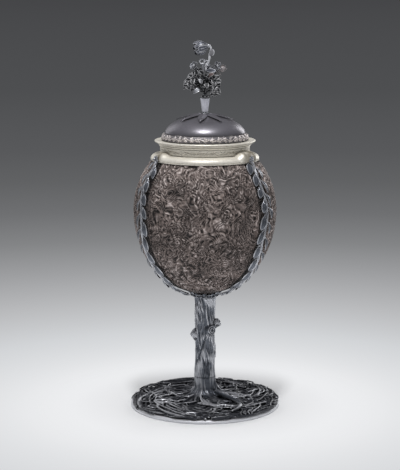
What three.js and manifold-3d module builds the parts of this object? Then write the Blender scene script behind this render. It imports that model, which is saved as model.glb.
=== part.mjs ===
// Coconut cup and cover: a carved nut in silver mounts on a tree-trunk stem, with a bouquet finial.
// Millimetres, +Z up, origin at the centre of the foot's underside, front towards -Y.
import * as THREE from 'three';
import { mergeVertices } from 'three/addons/utils/BufferGeometryUtils.js';
import Module from 'manifold-3d';

const wasm = await Module();
wasm.setup();

// Fits
const FIT = 0.3;              // gap between pieces that touch
const LID_CLEARANCE = 0.4;    // running gap of the cover's bezel in the neck

// Facets
const SEGMENTS = 36;          // round a turned piece

// Foot
const FOOT_RADIUS = 56.5;
const RIM_WIDTH = 9;
const RIM_HEIGHT = 2.8;
const ROOT_COUNT = 9;
const ROOT_HEIGHT = 1.6;      // height of the root centrelines over the rim
const ROOT_THICK = 2.9;       // root radius at the crown
const ROOT_THIN = 2;          // root radius at the rim
const SIDE_ROOT_THICK = 2.2;
const SIDE_ROOT_THIN = 1.6;
const ROOT_RIPPLE = 0.4;      // how far a root rises and dips
const ROOT_SWING = 7;         // sideways winding of a root, degrees
const ROOT_TURN = 58;         // how far a main root bends along the rim, degrees
const SIDE_ROOT_TURN = -30;   // the side roots bend the other way and cross them
const BUTTRESS_AZIMUTH = 98;
const BUTTRESS_TURN = -62;
const BUTTRESS_THICK = 3.6;
const WEB_THICKNESS = 1.5;
const MAT_INSET = 0.7;        // how far inside the rim the roots end
const WEB_LIFT = 0.6;         // how far the web rises towards the crown's foot
const OUTER_HOLES = 47;       // radius on which the web's outer holes lie
const INNER_HOLES = 39;
const WIDE_HOLE = 2.4;
const NARROW_HOLE = 1.7;
const WEB_HOLES = [
  [-83, OUTER_HOLES, WIDE_HOLE], [-122, INNER_HOLES, NARROW_HOLE], [-38, OUTER_HOLES, NARROW_HOLE],
  [64, OUTER_HOLES, NARROW_HOLE], [128, OUTER_HOLES, WIDE_HOLE], [168, INNER_HOLES, NARROW_HOLE],
  [-160, OUTER_HOLES, WIDE_HOLE], [24, INNER_HOLES, NARROW_HOLE],
];
const CROWN_RADIUS = 8.4;
const CROWN_HEIGHT = 18.9;
const CROWN_SPREAD = 19;      // radius where the crown meets the mat
const RECESS_RADIUS = 9;      // recess under the crown
const RECESS_DEPTH = 4;
const BRIDGE_THICKNESS = 1.6;
const MARGIN = 10;            // how far a cutting tool reaches past what it cuts

// Trunk
const TRUNK_RADIUS = 7.1;
const TRUNK_HEIGHT = 61.7;
const TRUNK_FLARE_LOW = 0.7;  // how much the trunk widens at its foot
const TRUNK_FLARE_HIGH = 1.1; // and under the calyx
const BARK_DEPTH = 0.45;
const STUB_LEFT = { azimuth: -86, height: 28, radius: 3, reach: 11.5, tilt: 34 };
const STUB_RIGHT = { azimuth: 80, height: 36, radius: 2.6, reach: 13, tilt: 30 };
const STUB_FRONT = { azimuth: 36, height: 36, radius: 3.3, reach: 8.8, tilt: 4 };
const STUB_LOW = { azimuth: 92, height: 17, radius: 2.6, reach: 8.4, tilt: 0 };

// Tie bolt
const BOLT_RADIUS = 2.2;
const BOLT_HEAD_RADIUS = 3.8;
const BOLT_HEAD_HEIGHT = 2;
const TIE_NUT_RADIUS = 4.4;
const TIE_NUT_HEIGHT = 2.6;
const ROSETTE_RADIUS = 8;
const ROSETTE_THICKNESS = 1.5;

// Calyx and nut
const CALYX_RADIUS = 13.2;
const CALYX_FOOT_RADIUS = 8.6;
const CALYX_THICKNESS = 1.9;
const CALYX_LEAVES = 6;
const CALYX_NOTCH = 2.2;      // how deep the edge is cut between the leaves
const CALYX_EDGE = 0.7;
const NUT_RADIUS = 53;
const NUT_LOWER = 63;         // widest point down to the bottom
const NUT_UPPER = 56;         // half height of the ellipse above the widest point
const NUT_MOUTH_RADIUS = 37.94; // of the sawn mouth's outer edge
const NUT_WALL = 3.5;

// Collar and neck
const LIP_DROP = 1.3;
const LIP_WALL = 1.2;
const SKIRT_HEIGHT = 3.7;
const NECK_RADIUS = 33.4;
const NECK_WALL = 1.2;
const NECK_HEIGHT = 4.8;
const BEAD_HEIGHT = 1.2;
const BEAD_OVERHANG = 0.8;
const LINER_WALL = 0.8;
const LINER_DROP = 4.6;

// Straps
const STRAP_AZIMUTHS = [-59, 54, 178];
const STRAP_OFFSET = 2;       // strap centreline over the nut
const STRAP_TOP_LIFT = 0.9;   // how much further out it lies at the collar
const TENDRIL_RADIUS = 1.1;
const TENDRIL_SWAY = 1.5;
const TENDRIL_WAVES = 4.5;
const STRAP_LEAVES = 11;
const STRAP_LEAF_LENGTH = 10.5;
const STRAP_LEAF_HALF_WIDTH = 2.8;
const STRAP_LEAF_SPREAD = 4.4; // how far a leaf's tip stands aside
const LUG_RADIUS = 2.2;
const LUG_THICKNESS = 1.5;
const PIN_RADIUS = 0.6;
const PIN_HEAD_RADIUS = 1.1;
const PIN_HEAD_HEIGHT = 0.9;

// Cover
const STEP_RADIUS = 35;
const STEP_HEIGHT = 1.2;
const BEZEL_WALL = 1;
const BEZEL_HEIGHT = 6.2;
const FLANGE_RADIUS = 37.7;
const FLANGE_THICKNESS = 1.3;
const FRIEZE_RADIUS = 32.4;
const FRIEZE_HEIGHT = 4.4;
const FRIEZE_LEAN = 1.6;
const FRIEZE_WALL = 1.6;
const DOME_INSET = 1;         // the dome's foot stands inside the frieze's top edge
const DOME_HEIGHT = 13.5;
const DOME_FULLNESS = 1.85;
const DOME_WALL = 1.3;
const STAR_LEAVES = 8;
const STAR_TURN = -10;        // azimuth of the first leaf, degrees
const STAR_REACH = 21.5;
const STAR_HALF_WIDTH = 3.3;
const STAR_THICKNESS = 0.9;

// Finial
const FINIAL_BOLT_RADIUS = 1;
const FINIAL_NUT_RADIUS = 3;
const FINIAL_NUT_HEIGHT = 2.4;
const BASE_RING_RADIUS = 2.65;
const BASE_RING_HEIGHT = 1.5;
const HOLDER_BOTTOM_RADIUS = 2.3;
const HOLDER_TOP_RADIUS = 3.7;
const HOLDER_HEIGHT = 10;
const HOLDER_FACETS = 6;
const HOLDER_COLLAR_RADIUS = 3.9;
const HOLDER_COLLAR_HEIGHT = 1.9;
const CORE_RADIUS = 4.2;
const CORE_HEIGHT = 18.4;
const STALK_RADIUS = 0.65;
const TOP_STEM_RADIUS = 1.1;
const BLADE_THICKNESS = 0.9;
const FLOWER_HEIGHT = 15.5;   // drooping flower's stem over the bouquet's core

// Heights, stacked from the foot up
const matBottom = RIM_HEIGHT + FIT;
const rootZ = RIM_HEIGHT + ROOT_HEIGHT;
const crownTop = matBottom + CROWN_HEIGHT;
const recessTop = matBottom + RECESS_DEPTH;
const bridgeTop = recessTop - FIT;
const tieNutTop = bridgeTop - BRIDGE_THICKNESS - FIT;
const trunkBottom = crownTop + FIT;
const trunkTop = trunkBottom + TRUNK_HEIGHT;
const calyxBottom = trunkTop + FIT;
const nutBottom = calyxBottom + CALYX_THICKNESS + FIT;
const nutEquator = nutBottom + NUT_LOWER;
const mouthRise = NUT_UPPER * Math.sqrt(1 - (NUT_MOUTH_RADIUS / NUT_RADIUS) ** 2);
const mouthZ = nutEquator + mouthRise;
const collarRest = mouthZ + FIT;
const lipBottom = collarRest - LIP_DROP;
const skirtTop = collarRest + SKIRT_HEIGHT;
const neckBottom = skirtTop + FIT;
const neckTop = neckBottom + NECK_HEIGHT;
const beadBottom = neckTop + FIT;
const beadTop = beadBottom + BEAD_HEIGHT;
const stepBottom = beadTop + FIT;
const stepTop = stepBottom + STEP_HEIGHT;
const flangeBottom = stepTop + FIT;
const flangeTop = flangeBottom + FLANGE_THICKNESS;
const friezeBottom = flangeTop + FIT;
const friezeTop = friezeBottom + FRIEZE_HEIGHT;
const domeBottom = friezeTop + FIT;
const domeTop = domeBottom + DOME_HEIGHT;
const baseRingBottom = domeTop + FIT;
const holderBottom = baseRingBottom + BASE_RING_HEIGHT + FIT;
const holderTop = holderBottom + HOLDER_HEIGHT;
const holderCollarBottom = holderTop + FIT;
const coreBottom = holderCollarBottom + HOLDER_COLLAR_HEIGHT + FIT;
const coreMiddle = coreBottom + CORE_HEIGHT / 2;
const coreTop = coreBottom + CORE_HEIGHT;

// Radii that follow from each other
const boltBore = BOLT_RADIUS + FIT;
const nutBore = boltBore + FIT;
const finialBore = FINIAL_BOLT_RADIUS + FIT;
const neckInner = NECK_RADIUS - NECK_WALL;
const linerOuter = neckInner - FIT;
const linerInner = linerOuter - LINER_WALL;
const bezelOuter = linerInner - LID_CLEARANCE;
const bezelInner = bezelOuter - BEZEL_WALL;
const domeRadius = FRIEZE_RADIUS - FRIEZE_LEAN - DOME_INSET;

const UP = new THREE.Vector3(0, 0, 1);
const radians = THREE.MathUtils.degToRad;
const mix = THREE.MathUtils.lerp;

// Geometry helpers

function closedMesh(positions, triangles) {
  // A mesh with shared corners, no slivers of zero area and its faces pointing out.
  let geometry = new THREE.BufferGeometry();
  geometry.setAttribute('position', new THREE.Float32BufferAttribute(positions, 3));
  geometry.setIndex(triangles);
  geometry = mergeVertices(geometry, 1e-4);
  const index = geometry.index.array;
  const kept = [];
  for (let i = 0; i < index.length; i += 3) {
    const [a, b, c] = [index[i], index[i + 1], index[i + 2]];
    if (a !== b && b !== c && c !== a) kept.push(a, b, c);
  }
  if (signedVolume(geometry.attributes.position, kept) < 0) kept.reverse();
  geometry.setIndex(kept);
  return geometry;
}

function signedVolume(position, index) {
  const corners = [new THREE.Vector3(), new THREE.Vector3(), new THREE.Vector3()];
  let volume = 0;
  for (let i = 0; i < index.length; i += 3) {
    corners.forEach((corner, k) => corner.fromBufferAttribute(position, index[i + k]));
    volume += corners[0].dot(corners[1].cross(corners[2])) / 6;
  }
  return volume;
}

function plain(geometry) {
  // Any closed three.js geometry with only its corners left.
  const source = geometry.index ? geometry : mergeVertices(geometry);
  return closedMesh(Array.from(source.attributes.position.array), Array.from(source.index.array));
}

function toSolid(geometry) {
  return new wasm.Manifold(new wasm.Mesh({
    numProp: 3,
    vertProperties: new Float32Array(geometry.attributes.position.array),
    triVerts: new Uint32Array(geometry.index.array),
  }));
}

function fromSolid(solid) {
  const mesh = solid.getMesh();
  return closedMesh(Array.from(mesh.vertProperties), Array.from(mesh.triVerts));
}

function join(geometries) {
  return fromSolid(geometries.map(toSolid).reduce((whole, next) => whole.add(next)));
}

function cut(geometry, ...tools) {
  return fromSolid(tools.map(toSolid).reduce((whole, tool) => whole.subtract(tool), toSolid(geometry)));
}

function turned(profile, segments = SEGMENTS) {
  // A lathe turning about Z; the profile is a list of [radius, z] that closes on itself.
  const points = profile.map(([radius, z]) => new THREE.Vector2(radius, z));
  if (profile[0][0] > 0) points.push(points[0].clone());
  return plain(new THREE.LatheGeometry(points, segments).rotateX(Math.PI / 2));
}

function ring(inner, outer, bottom, top, segments = SEGMENTS) {
  return turned([[inner, bottom], [outer, bottom], [outer, top], [inner, top]], segments);
}

function post(radius, bottom, top, sides = 16) {
  const geometry = new THREE.CylinderGeometry(radius, radius, top - bottom, sides);
  return plain(geometry.rotateX(Math.PI / 2).translate(0, 0, (top + bottom) / 2));
}

function wrapped(loops) {
  // Closed skin over rings of points: loops[i] runs round the axis, the last loop joins the first.
  const columns = loops[0].length;
  const positions = loops.flat().flatMap((point) => point.toArray());
  const triangles = [];
  loops.forEach((loop, i) => {
    const next = (i + 1) % loops.length;
    for (let j = 0; j < columns; j += 1) {
      const k = (j + 1) % columns;
      const [a, b] = [i * columns + j, i * columns + k];
      const [c, d] = [next * columns + k, next * columns + j];
      triangles.push(a, b, c, a, c, d);
    }
  });
  return closedMesh(positions, triangles);
}

function swept(stations, sides = 6) {
  // A tapering rod or blade: each station is { at, up, half: [width, thickness] }.
  const positions = [];
  const triangles = [];
  stations.forEach((station, i) => {
    const before = stations[Math.max(i - 1, 0)].at;
    const after = stations[Math.min(i + 1, stations.length - 1)].at;
    const along = after.clone().sub(before).normalize();
    const side = along.clone().cross(station.up).normalize();
    const up = side.clone().cross(along);
    for (let k = 0; k < sides; k += 1) {
      const angle = (2 * Math.PI * k) / sides;
      const point = station.at.clone()
        .addScaledVector(side, station.half[0] * Math.cos(angle))
        .addScaledVector(up, station.half[1] * Math.sin(angle));
      positions.push(...point.toArray());
    }
  });
  for (let i = 0; i + 1 < stations.length; i += 1) {
    for (let k = 0; k < sides; k += 1) {
      const next = (k + 1) % sides;
      const [a, b] = [i * sides + k, i * sides + next];
      triangles.push(a, b, b + sides, a, b + sides, a + sides);
    }
  }
  [0, stations.length - 1].forEach((end, which) => {
    const middle = positions.length / 3;
    positions.push(...stations[end].at.toArray());
    for (let k = 0; k < sides; k += 1) {
      const [a, b] = [end * sides + k, end * sides + ((k + 1) % sides)];
      triangles.push(...(which ? [middle, a, b] : [middle, b, a]));
    }
  });
  return closedMesh(positions, triangles);
}

function stalk(points, thick, thin, up, steps = 6, sides = 5) {
  const curve = new THREE.CatmullRomCurve3(points);
  const stations = [];
  for (let i = 0; i <= steps; i += 1) {
    const radius = mix(thick, thin, i / steps);
    stations.push({ at: curve.getPoint(i / steps), up, half: [radius, radius] });
  }
  return swept(stations, sides);
}

function blade(start, end, up, halfWidth, arch = 0.12, steps = 5) {
  // A pointed leaf from start to end that arches towards up.
  const length = start.distanceTo(end);
  const stations = [];
  for (let i = 0; i <= steps; i += 1) {
    const s = i / steps;
    const swell = Math.sin(Math.PI * (0.1 + 0.88 * s ** 0.8));
    stations.push({
      at: start.clone().lerp(end, s).addScaledVector(up, arch * length * Math.sin(Math.PI * s)),
      up,
      half: [Math.max(halfWidth * swell, 0.12), BLADE_THICKNESS / 2 * mix(1, 0.45, s)],
    });
  }
  return swept(stations, 4);
}

function outward(azimuth) {
  // Azimuth 0 is the front, positive to the right, in degrees.
  return new THREE.Vector3(Math.sin(radians(azimuth)), -Math.cos(radians(azimuth)), 0);
}

function around(radius, azimuth, z) {
  return outward(azimuth).multiplyScalar(radius).setZ(z);
}

function direction(components) {
  return new THREE.Vector3(...components).normalize();
}

// Materials

function oxidisedSilver() {
  return new THREE.MeshStandardMaterial({ color: 0x77767a, roughness: 0.42, metalness: 1 });
}

function polishedSilver() {
  return new THREE.MeshStandardMaterial({ color: 0x8d8a90, roughness: 0.22, metalness: 1 });
}

function giltSilver() {
  return new THREE.MeshStandardMaterial({ color: 0xcfc3a4, roughness: 0.26, metalness: 1 });
}

function coconut() {
  return new THREE.MeshStandardMaterial({ color: 0x5b4a40, roughness: 0.6, metalness: 0 });
}

// Bouquet: root is [azimuth, height] on the core; heads, twigs and tips are [x, y, height] from its middle

const FLOWERS = [
  {
    name: 'ring_flower', root: [-35, 7.4], head: [-1.2, -2.9, 15.1], facing: [-0.2, -1, 0.3],
    radius: 1.9, petals: 5, metal: polishedSilver,
  },
  {
    name: 'flower_left', root: [-80, 6], head: [-7.5, -2, 11.7], facing: [-0.6, -0.8, 0.5],
    radius: 2.9, petals: 5, metal: polishedSilver,
  },
  {
    name: 'flower_right', root: [72, 6.4], head: [9.2, -2.2, 11.7], facing: [0.4, -0.9, 0.3],
    radius: 2.8, petals: 5, metal: polishedSilver,
  },
  {
    name: 'flower_back', root: [170, 6.2], head: [1.6, 7.2, 10.8], facing: [0.1, 0.9, 0.5],
    radius: 3, petals: 5, metal: polishedSilver,
  },
  {
    name: 'bud_right', root: [96, 3], head: [12.6, 1.4, 8.2], facing: [0.75, -0.5, 0.2],
    radius: 2.6, petals: 7, metal: giltSilver,
  },
];

// size is a leaf's length and half width
const SPRAYS = [
  {
    name: 'spray_left', root: [-75, 1.6], twig: [[-7.5, -2.2, 4.4], [-11.6, -2.6, 0], [-13.4, -2.6, -3.4]],
    leaves: 6, size: [4.8, 1.4], facing: [-0.3, -1, 0.1],
  },
  {
    name: 'spray_right', root: [52, 0.4], twig: [[6.6, -4.4, 2.6], [9.4, -5, -2.5], [8.6, -5.2, -9]],
    leaves: 8, size: [5.6, 1.6], facing: [0.35, -1, 0.1],
  },
  {
    name: 'spray_back_left', root: [-140, 1], twig: [[-6, 4.6, 3.4], [-9, 5.2, -1.5], [-9, 5.4, -6.5]],
    leaves: 6, size: [5.2, 1.5], facing: [0, 1, 0.1],
  },
  {
    name: 'spray_back_right', root: [145, -1], twig: [[5.4, 5.2, 1.2], [7.6, 6, -3.4], [7.4, 6, -7.4]],
    leaves: 5, size: [4.8, 1.5], facing: [0, 1, 0.1],
  },
];

const LEAVES = [
  {
    name: 'leaf_left', root: [-95, -5], tip: [-8.6, -1, -8.6], facing: [-0.4, -0.2, 0.9],
    halfWidth: 1.9, metal: polishedSilver,
  },
  {
    name: 'leaf_front', root: [-25, -0.6], tip: [-3.6, -6.4, 2.6], facing: [0, -0.5, 0.85],
    halfWidth: 1.5, metal: giltSilver,
  },
];

const cup = new THREE.Group();
const cover = new THREE.Group();

function add(group, name, geometry, material) {
  const mesh = new THREE.Mesh(geometry, material);
  mesh.name = name;
  group.add(mesh);
}

// Foot

function footRim() {
  const inner = FOOT_RADIUS - RIM_WIDTH;
  const edge = RIM_HEIGHT / 2;
  const profile = [[inner, 0], [FOOT_RADIUS - edge, 0]];
  for (let i = 1; i < 4; i += 1) {
    const angle = -Math.PI / 2 + (Math.PI * i) / 4;
    profile.push([FOOT_RADIUS - edge + edge * Math.cos(angle), edge + edge * Math.sin(angle)]);
  }
  profile.push([FOOT_RADIUS - edge, RIM_HEIGHT], [inner, RIM_HEIGHT]);
  return turned(profile, 48);
}

function rootStation(radius, azimuth, z, thickness) {
  return { at: around(radius, azimuth, z), up: UP, half: [thickness, thickness * 0.85] };
}

function rootLine({ azimuth, phase, from, to, thick, thin, turn, steps, sides }) {
  // One root that winds down from the crown and bends along the rim.
  const stations = [];
  for (let i = 0; i <= steps; i += 1) {
    const s = i / steps;
    const radius = mix(from, to, s ** 0.85);
    const wind = ROOT_SWING * Math.sin(2 * Math.PI * s + phase) * Math.min(1, 3 * s) + turn * s ** 1.6;
    const spread = radius / CROWN_RADIUS - 0.55;
    const climb = (CROWN_HEIGHT - ROOT_HEIGHT) * Math.exp(-spread / 0.43);
    const ripple = ROOT_RIPPLE * Math.sin(5 * s + 2 * phase);
    stations.push(rootStation(radius, azimuth + wind, rootZ + climb + ripple, mix(thick, thin, s)));
  }
  return swept(stations, sides);
}

function rootRing(radius, waves, thickness, steps) {
  // A wavy root that closes on itself round the foot.
  const sides = 4;
  const loops = Array.from({ length: sides }, () => []);
  for (let i = 0; i < steps; i += 1) {
    const angle = (360 * i) / steps;
    const wave = Math.sin(radians(angle * waves));
    for (let k = 0; k < sides; k += 1) {
      const turn = (2 * Math.PI * k) / sides;
      const out = radius + ROOT_RIPPLE * wave + thickness * Math.cos(turn);
      loops[k].push(around(out, angle, rootZ + thickness * 0.8 * Math.sin(turn)));
    }
  }
  return wrapped(loops);
}

function rootWeb(edge) {
  // The thin pierced casting that fills the space between the roots and rises to the crown.
  const top = matBottom + WEB_THICKNESS;
  const web = turned([
    [0, matBottom], [edge, matBottom], [edge, top], [CROWN_SPREAD, top + WEB_LIFT],
    [CROWN_RADIUS * 1.36, matBottom + CROWN_HEIGHT * 0.32],
    [CROWN_RADIUS * 1.1, matBottom + CROWN_HEIGHT * 0.55],
    [CROWN_RADIUS, crownTop], [0, crownTop],
  ], 24);
  const holes = WEB_HOLES.map(([azimuth, radius, hole]) => {
    const place = around(radius, azimuth, 0);
    return plain(post(hole, matBottom - MARGIN, top + MARGIN, 8).translate(place.x, place.y, 0));
  });
  return { web, holes };
}

function rootMat() {
  const edge = FOOT_RADIUS - ROOT_THIN - MAT_INSET;
  const spacing = 360 / ROOT_COUNT;
  const { web, holes } = rootWeb(edge);
  const parts = [cut(web, ...holes)];
  for (let k = 0; k < ROOT_COUNT; k += 1) {
    parts.push(rootLine({
      azimuth: k * spacing, phase: 1.7 * k, from: CROWN_RADIUS - ROOT_THIN, to: edge,
      thick: ROOT_THICK, thin: ROOT_THIN, turn: ROOT_TURN, steps: 8, sides: 5,
    }));
    parts.push(rootLine({
      azimuth: (k + 0.5) * spacing, phase: 2.3 * k + 1, from: CROWN_RADIUS * 1.5, to: edge - SIDE_ROOT_THIN,
      thick: SIDE_ROOT_THICK, thin: SIDE_ROOT_THIN, turn: SIDE_ROOT_TURN, steps: 6, sides: 4,
    }));
  }
  parts.push(rootLine({
    azimuth: BUTTRESS_AZIMUTH, phase: 0, from: CROWN_RADIUS - ROOT_THIN, to: edge - 2 * BUTTRESS_THICK,
    thick: BUTTRESS_THICK, thin: ROOT_THIN, turn: BUTTRESS_TURN, steps: 9, sides: 6,
  }));
  parts.push(rootRing(edge, 9, SIDE_ROOT_THIN, 36));
  const below = post(FOOT_RADIUS + MARGIN, matBottom - 2 * MARGIN, matBottom, 12);
  const above = post(CROWN_RADIUS + MARGIN, crownTop, crownTop + 2 * MARGIN, 12);
  const recess = post(RECESS_RADIUS, matBottom - MARGIN, recessTop, 16);
  return cut(join(parts), below, above, recess, post(boltBore, 0, crownTop + 1));
}

// Trunk

function trunkRadius(height) {
  const low = Math.exp(-height / 5);
  const high = Math.exp(-(TRUNK_HEIGHT - height) / 4);
  return TRUNK_RADIUS + TRUNK_FLARE_LOW * low + TRUNK_FLARE_HIGH * high;
}

function stub({ azimuth, height, radius, reach, tilt }) {
  // A lopped branch: a short cone that starts inside the trunk.
  const start = TRUNK_RADIUS * 0.35;
  const length = reach - start;
  const geometry = new THREE.CylinderGeometry(radius * 0.92, radius * 1.08, length, 12);
  geometry.translate(0, length / 2 + start, 0);
  const aim = outward(azimuth).multiplyScalar(Math.cos(radians(tilt))).setZ(Math.sin(radians(tilt)));
  geometry.applyQuaternion(new THREE.Quaternion().setFromUnitVectors(new THREE.Vector3(0, 1, 0), aim));
  return plain(geometry.translate(0, 0, trunkBottom + height));
}

function trunkStem() {
  const rings = 9;
  const segments = 15;
  const loops = [];
  for (let i = 0; i <= rings; i += 1) {
    const height = (TRUNK_HEIGHT * i) / rings;
    const loop = [];
    for (let j = 0; j < segments; j += 1) {
      const turn = (2 * Math.PI * j) / segments;
      const bark = Math.sin(5 * turn + height * 0.09) + 0.6 * Math.sin(9 * turn - height * 0.13);
      loop.push(around(trunkRadius(height) + BARK_DEPTH * bark, (360 * j) / segments, trunkBottom + height));
    }
    loops.push(loop);
  }
  [trunkTop, trunkBottom].forEach((z) => {
    loops.push(Array.from({ length: segments }, (_, j) => around(boltBore, (360 * j) / segments, z)));
  });
  const stubs = [STUB_LEFT, STUB_RIGHT, STUB_FRONT, STUB_LOW].map(stub);
  return cut(join([wrapped(loops), ...stubs]), post(boltBore, trunkBottom - 1, trunkTop + 1));
}

// Nut, with its meridian as an ellipse that is deeper below the widest point

function nutMeridian(angle, offset = 0) {
  const rise = angle > 0 ? NUT_UPPER : NUT_LOWER;
  const normal = new THREE.Vector2(Math.cos(angle) / NUT_RADIUS, Math.sin(angle) / rise).normalize();
  return [
    NUT_RADIUS * Math.cos(angle) + offset * normal.x,
    nutEquator + rise * Math.sin(angle) + offset * normal.y,
  ];
}

function nutSurface(azimuth, angle, offset) {
  const [radius, z] = nutMeridian(angle, offset);
  return around(radius, azimuth, z);
}

function nutNormal(azimuth, angle) {
  return nutSurface(azimuth, angle, 1).sub(nutSurface(azimuth, angle, 0)).normalize();
}

function nutRadiusAt(z) {
  return NUT_RADIUS * Math.sqrt(1 - ((z - nutEquator) / NUT_UPPER) ** 2);
}

function nutBottomAt(radius) {
  return nutEquator - NUT_LOWER * Math.sqrt(1 - (radius / NUT_RADIUS) ** 2);
}

function nutInner() {
  // The hollow's profile from the sawn mouth down to the bolt hole.
  const steps = 9;
  const low = -Math.acos(nutBore / (NUT_RADIUS - NUT_WALL));
  const high = Math.asin(mouthRise / NUT_UPPER);
  const profile = [];
  for (let i = steps; i >= 0; i -= 1) {
    const angle = mix(low, high, i / steps);
    const rise = (angle > 0 ? NUT_UPPER : NUT_LOWER) - NUT_WALL;
    profile.push([(NUT_RADIUS - NUT_WALL) * Math.cos(angle), nutEquator + rise * Math.sin(angle)]);
  }
  profile[0][1] = mouthZ;
  return profile;
}

function bowlFloorAt(radius) {
  // Height of the hollow's lowest facet, near the bolt hole.
  const [outer, inner] = nutInner().slice(-2);
  return mix(inner[1], outer[1], (radius - inner[0]) / (outer[0] - inner[0]));
}

function coconutShell() {
  const steps = 12;
  const low = -Math.acos(nutBore / NUT_RADIUS);
  const high = Math.asin(mouthRise / NUT_UPPER);
  const outer = [];
  for (let i = 0; i <= steps; i += 1) outer.push(nutMeridian(mix(low, high, i / steps)));
  return turned([...outer, ...nutInner()]);
}

function calyxCup() {
  const segments = 4 * CALYX_LEAVES;
  const top = [boltBore, 6, 9.5, CALYX_RADIUS];
  const loopAt = (radiusOf, zOf) => Array.from({ length: segments }, (_, j) => {
    const azimuth = (360 * j) / segments;
    const radius = radiusOf(Math.abs(Math.cos(radians((azimuth * CALYX_LEAVES) / 2))));
    return around(radius, azimuth, zOf(radius));
  });
  const scallop = (radius) => (leaf) => {
    const notch = CALYX_NOTCH * (1 - leaf) * (radius / CALYX_RADIUS);
    return radius > 6 ? radius - notch : radius;
  };
  const loops = top.map((radius) => loopAt(scallop(radius), (r) => nutBottomAt(r) - FIT));
  const edge = (r) => nutBottomAt(r) - FIT - CALYX_EDGE;
  loops.push(loopAt(scallop(CALYX_RADIUS), edge));
  loops.push(loopAt(() => CALYX_FOOT_RADIUS, () => calyxBottom));
  loops.push(loopAt(() => boltBore, () => calyxBottom));
  return wrapped(loops);
}

function bowlRosette() {
  // A dished washer that lies on the bottom of the hollow.
  return turned([
    [boltBore, bowlFloorAt(boltBore) + FIT], [ROSETTE_RADIUS, bowlFloorAt(ROSETTE_RADIUS) + FIT],
    [ROSETTE_RADIUS * 0.7, rosetteTop()], [boltBore, rosetteTop()],
  ], 24);
}

function rosetteTop() {
  return bowlFloorAt(ROSETTE_RADIUS) + FIT + ROSETTE_THICKNESS;
}

function tieBolt() {
  const seat = rosetteTop() + FIT;
  const end = tieNutTop - TIE_NUT_HEIGHT - 0.2;
  return turned([
    [0, end], [BOLT_RADIUS, end], [BOLT_RADIUS, seat], [BOLT_HEAD_RADIUS, seat],
    [BOLT_HEAD_RADIUS * 0.6, seat + BOLT_HEAD_HEIGHT], [0, seat + BOLT_HEAD_HEIGHT],
  ], 16);
}

function hexNut(radius, bore, bottom, top) {
  return cut(post(radius, bottom, top, 6), post(bore, bottom - 1, top + 1, 16));
}

// Collar and neck

function collarSkirt() {
  const lipInner = nutRadiusAt(lipBottom) + FIT;
  const lipOuter = lipInner + LIP_WALL;
  const profile = [
    [neckInner, collarRest], [lipInner, collarRest], [lipInner, lipBottom], [lipOuter, lipBottom],
  ];
  const steps = 4;
  for (let i = 0; i <= steps; i += 1) {
    const angle = (Math.PI / 2) * (i / steps);
    profile.push([
      mix(NECK_RADIUS + 1.2, lipOuter, Math.cos(angle)),
      mix(lipBottom + 0.9, skirtTop, Math.sin(angle)),
    ]);
  }
  profile.push([neckInner, skirtTop]);
  const holes = STRAP_AZIMUTHS.map(
    (azimuth) => pinRod(azimuth, PIN_RADIUS + FIT, pinTip() - FIT, lugInner() + MARGIN),
  );
  return cut(turned(profile), ...holes);
}

function lugInner() {
  return nutRadiusAt(lipBottom) + FIT + LIP_WALL + FIT + 0.1;
}

function pinTip() {
  return NECK_RADIUS + 4.6;
}

function lugHeight() {
  return collarRest + SKIRT_HEIGHT * 0.33;
}

function radialRod(azimuth, radius, from, to, z, sides) {
  const geometry = new THREE.CylinderGeometry(radius, radius, to - from, sides);
  geometry.translate(0, (to + from) / 2, 0);
  const turn = new THREE.Quaternion().setFromUnitVectors(new THREE.Vector3(0, 1, 0), outward(azimuth));
  return plain(geometry.applyQuaternion(turn).translate(0, 0, z));
}

function pinRod(azimuth, radius, from, to) {
  return radialRod(azimuth, radius, from, to, lugHeight(), 8);
}

function strapPin(azimuth) {
  const seat = lugInner() + LUG_THICKNESS + FIT;
  const shank = pinRod(azimuth, PIN_RADIUS, pinTip(), seat + 0.2);
  const head = radialRod(azimuth, PIN_HEAD_RADIUS, seat, seat + PIN_HEAD_HEIGHT, lugHeight(), 10);
  return join([shank, head]);
}

function neckBead() {
  const middle = (beadBottom + beadTop) / 2;
  const profile = [[neckInner, beadTop], [neckInner, beadBottom]];
  for (let i = 0; i <= 3; i += 1) {
    const angle = -Math.PI / 2 + (Math.PI * i) / 3;
    profile.push([
      NECK_RADIUS + BEAD_OVERHANG * Math.cos(angle), middle + (BEAD_HEIGHT / 2) * Math.sin(angle),
    ]);
  }
  return turned(profile);
}

// Straps

function strapSway(s) {
  return TENDRIL_SWAY * Math.sin(2 * Math.PI * TENDRIL_WAVES * s) * Math.min(1, 6 * (1 - s), 10 * s);
}

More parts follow.
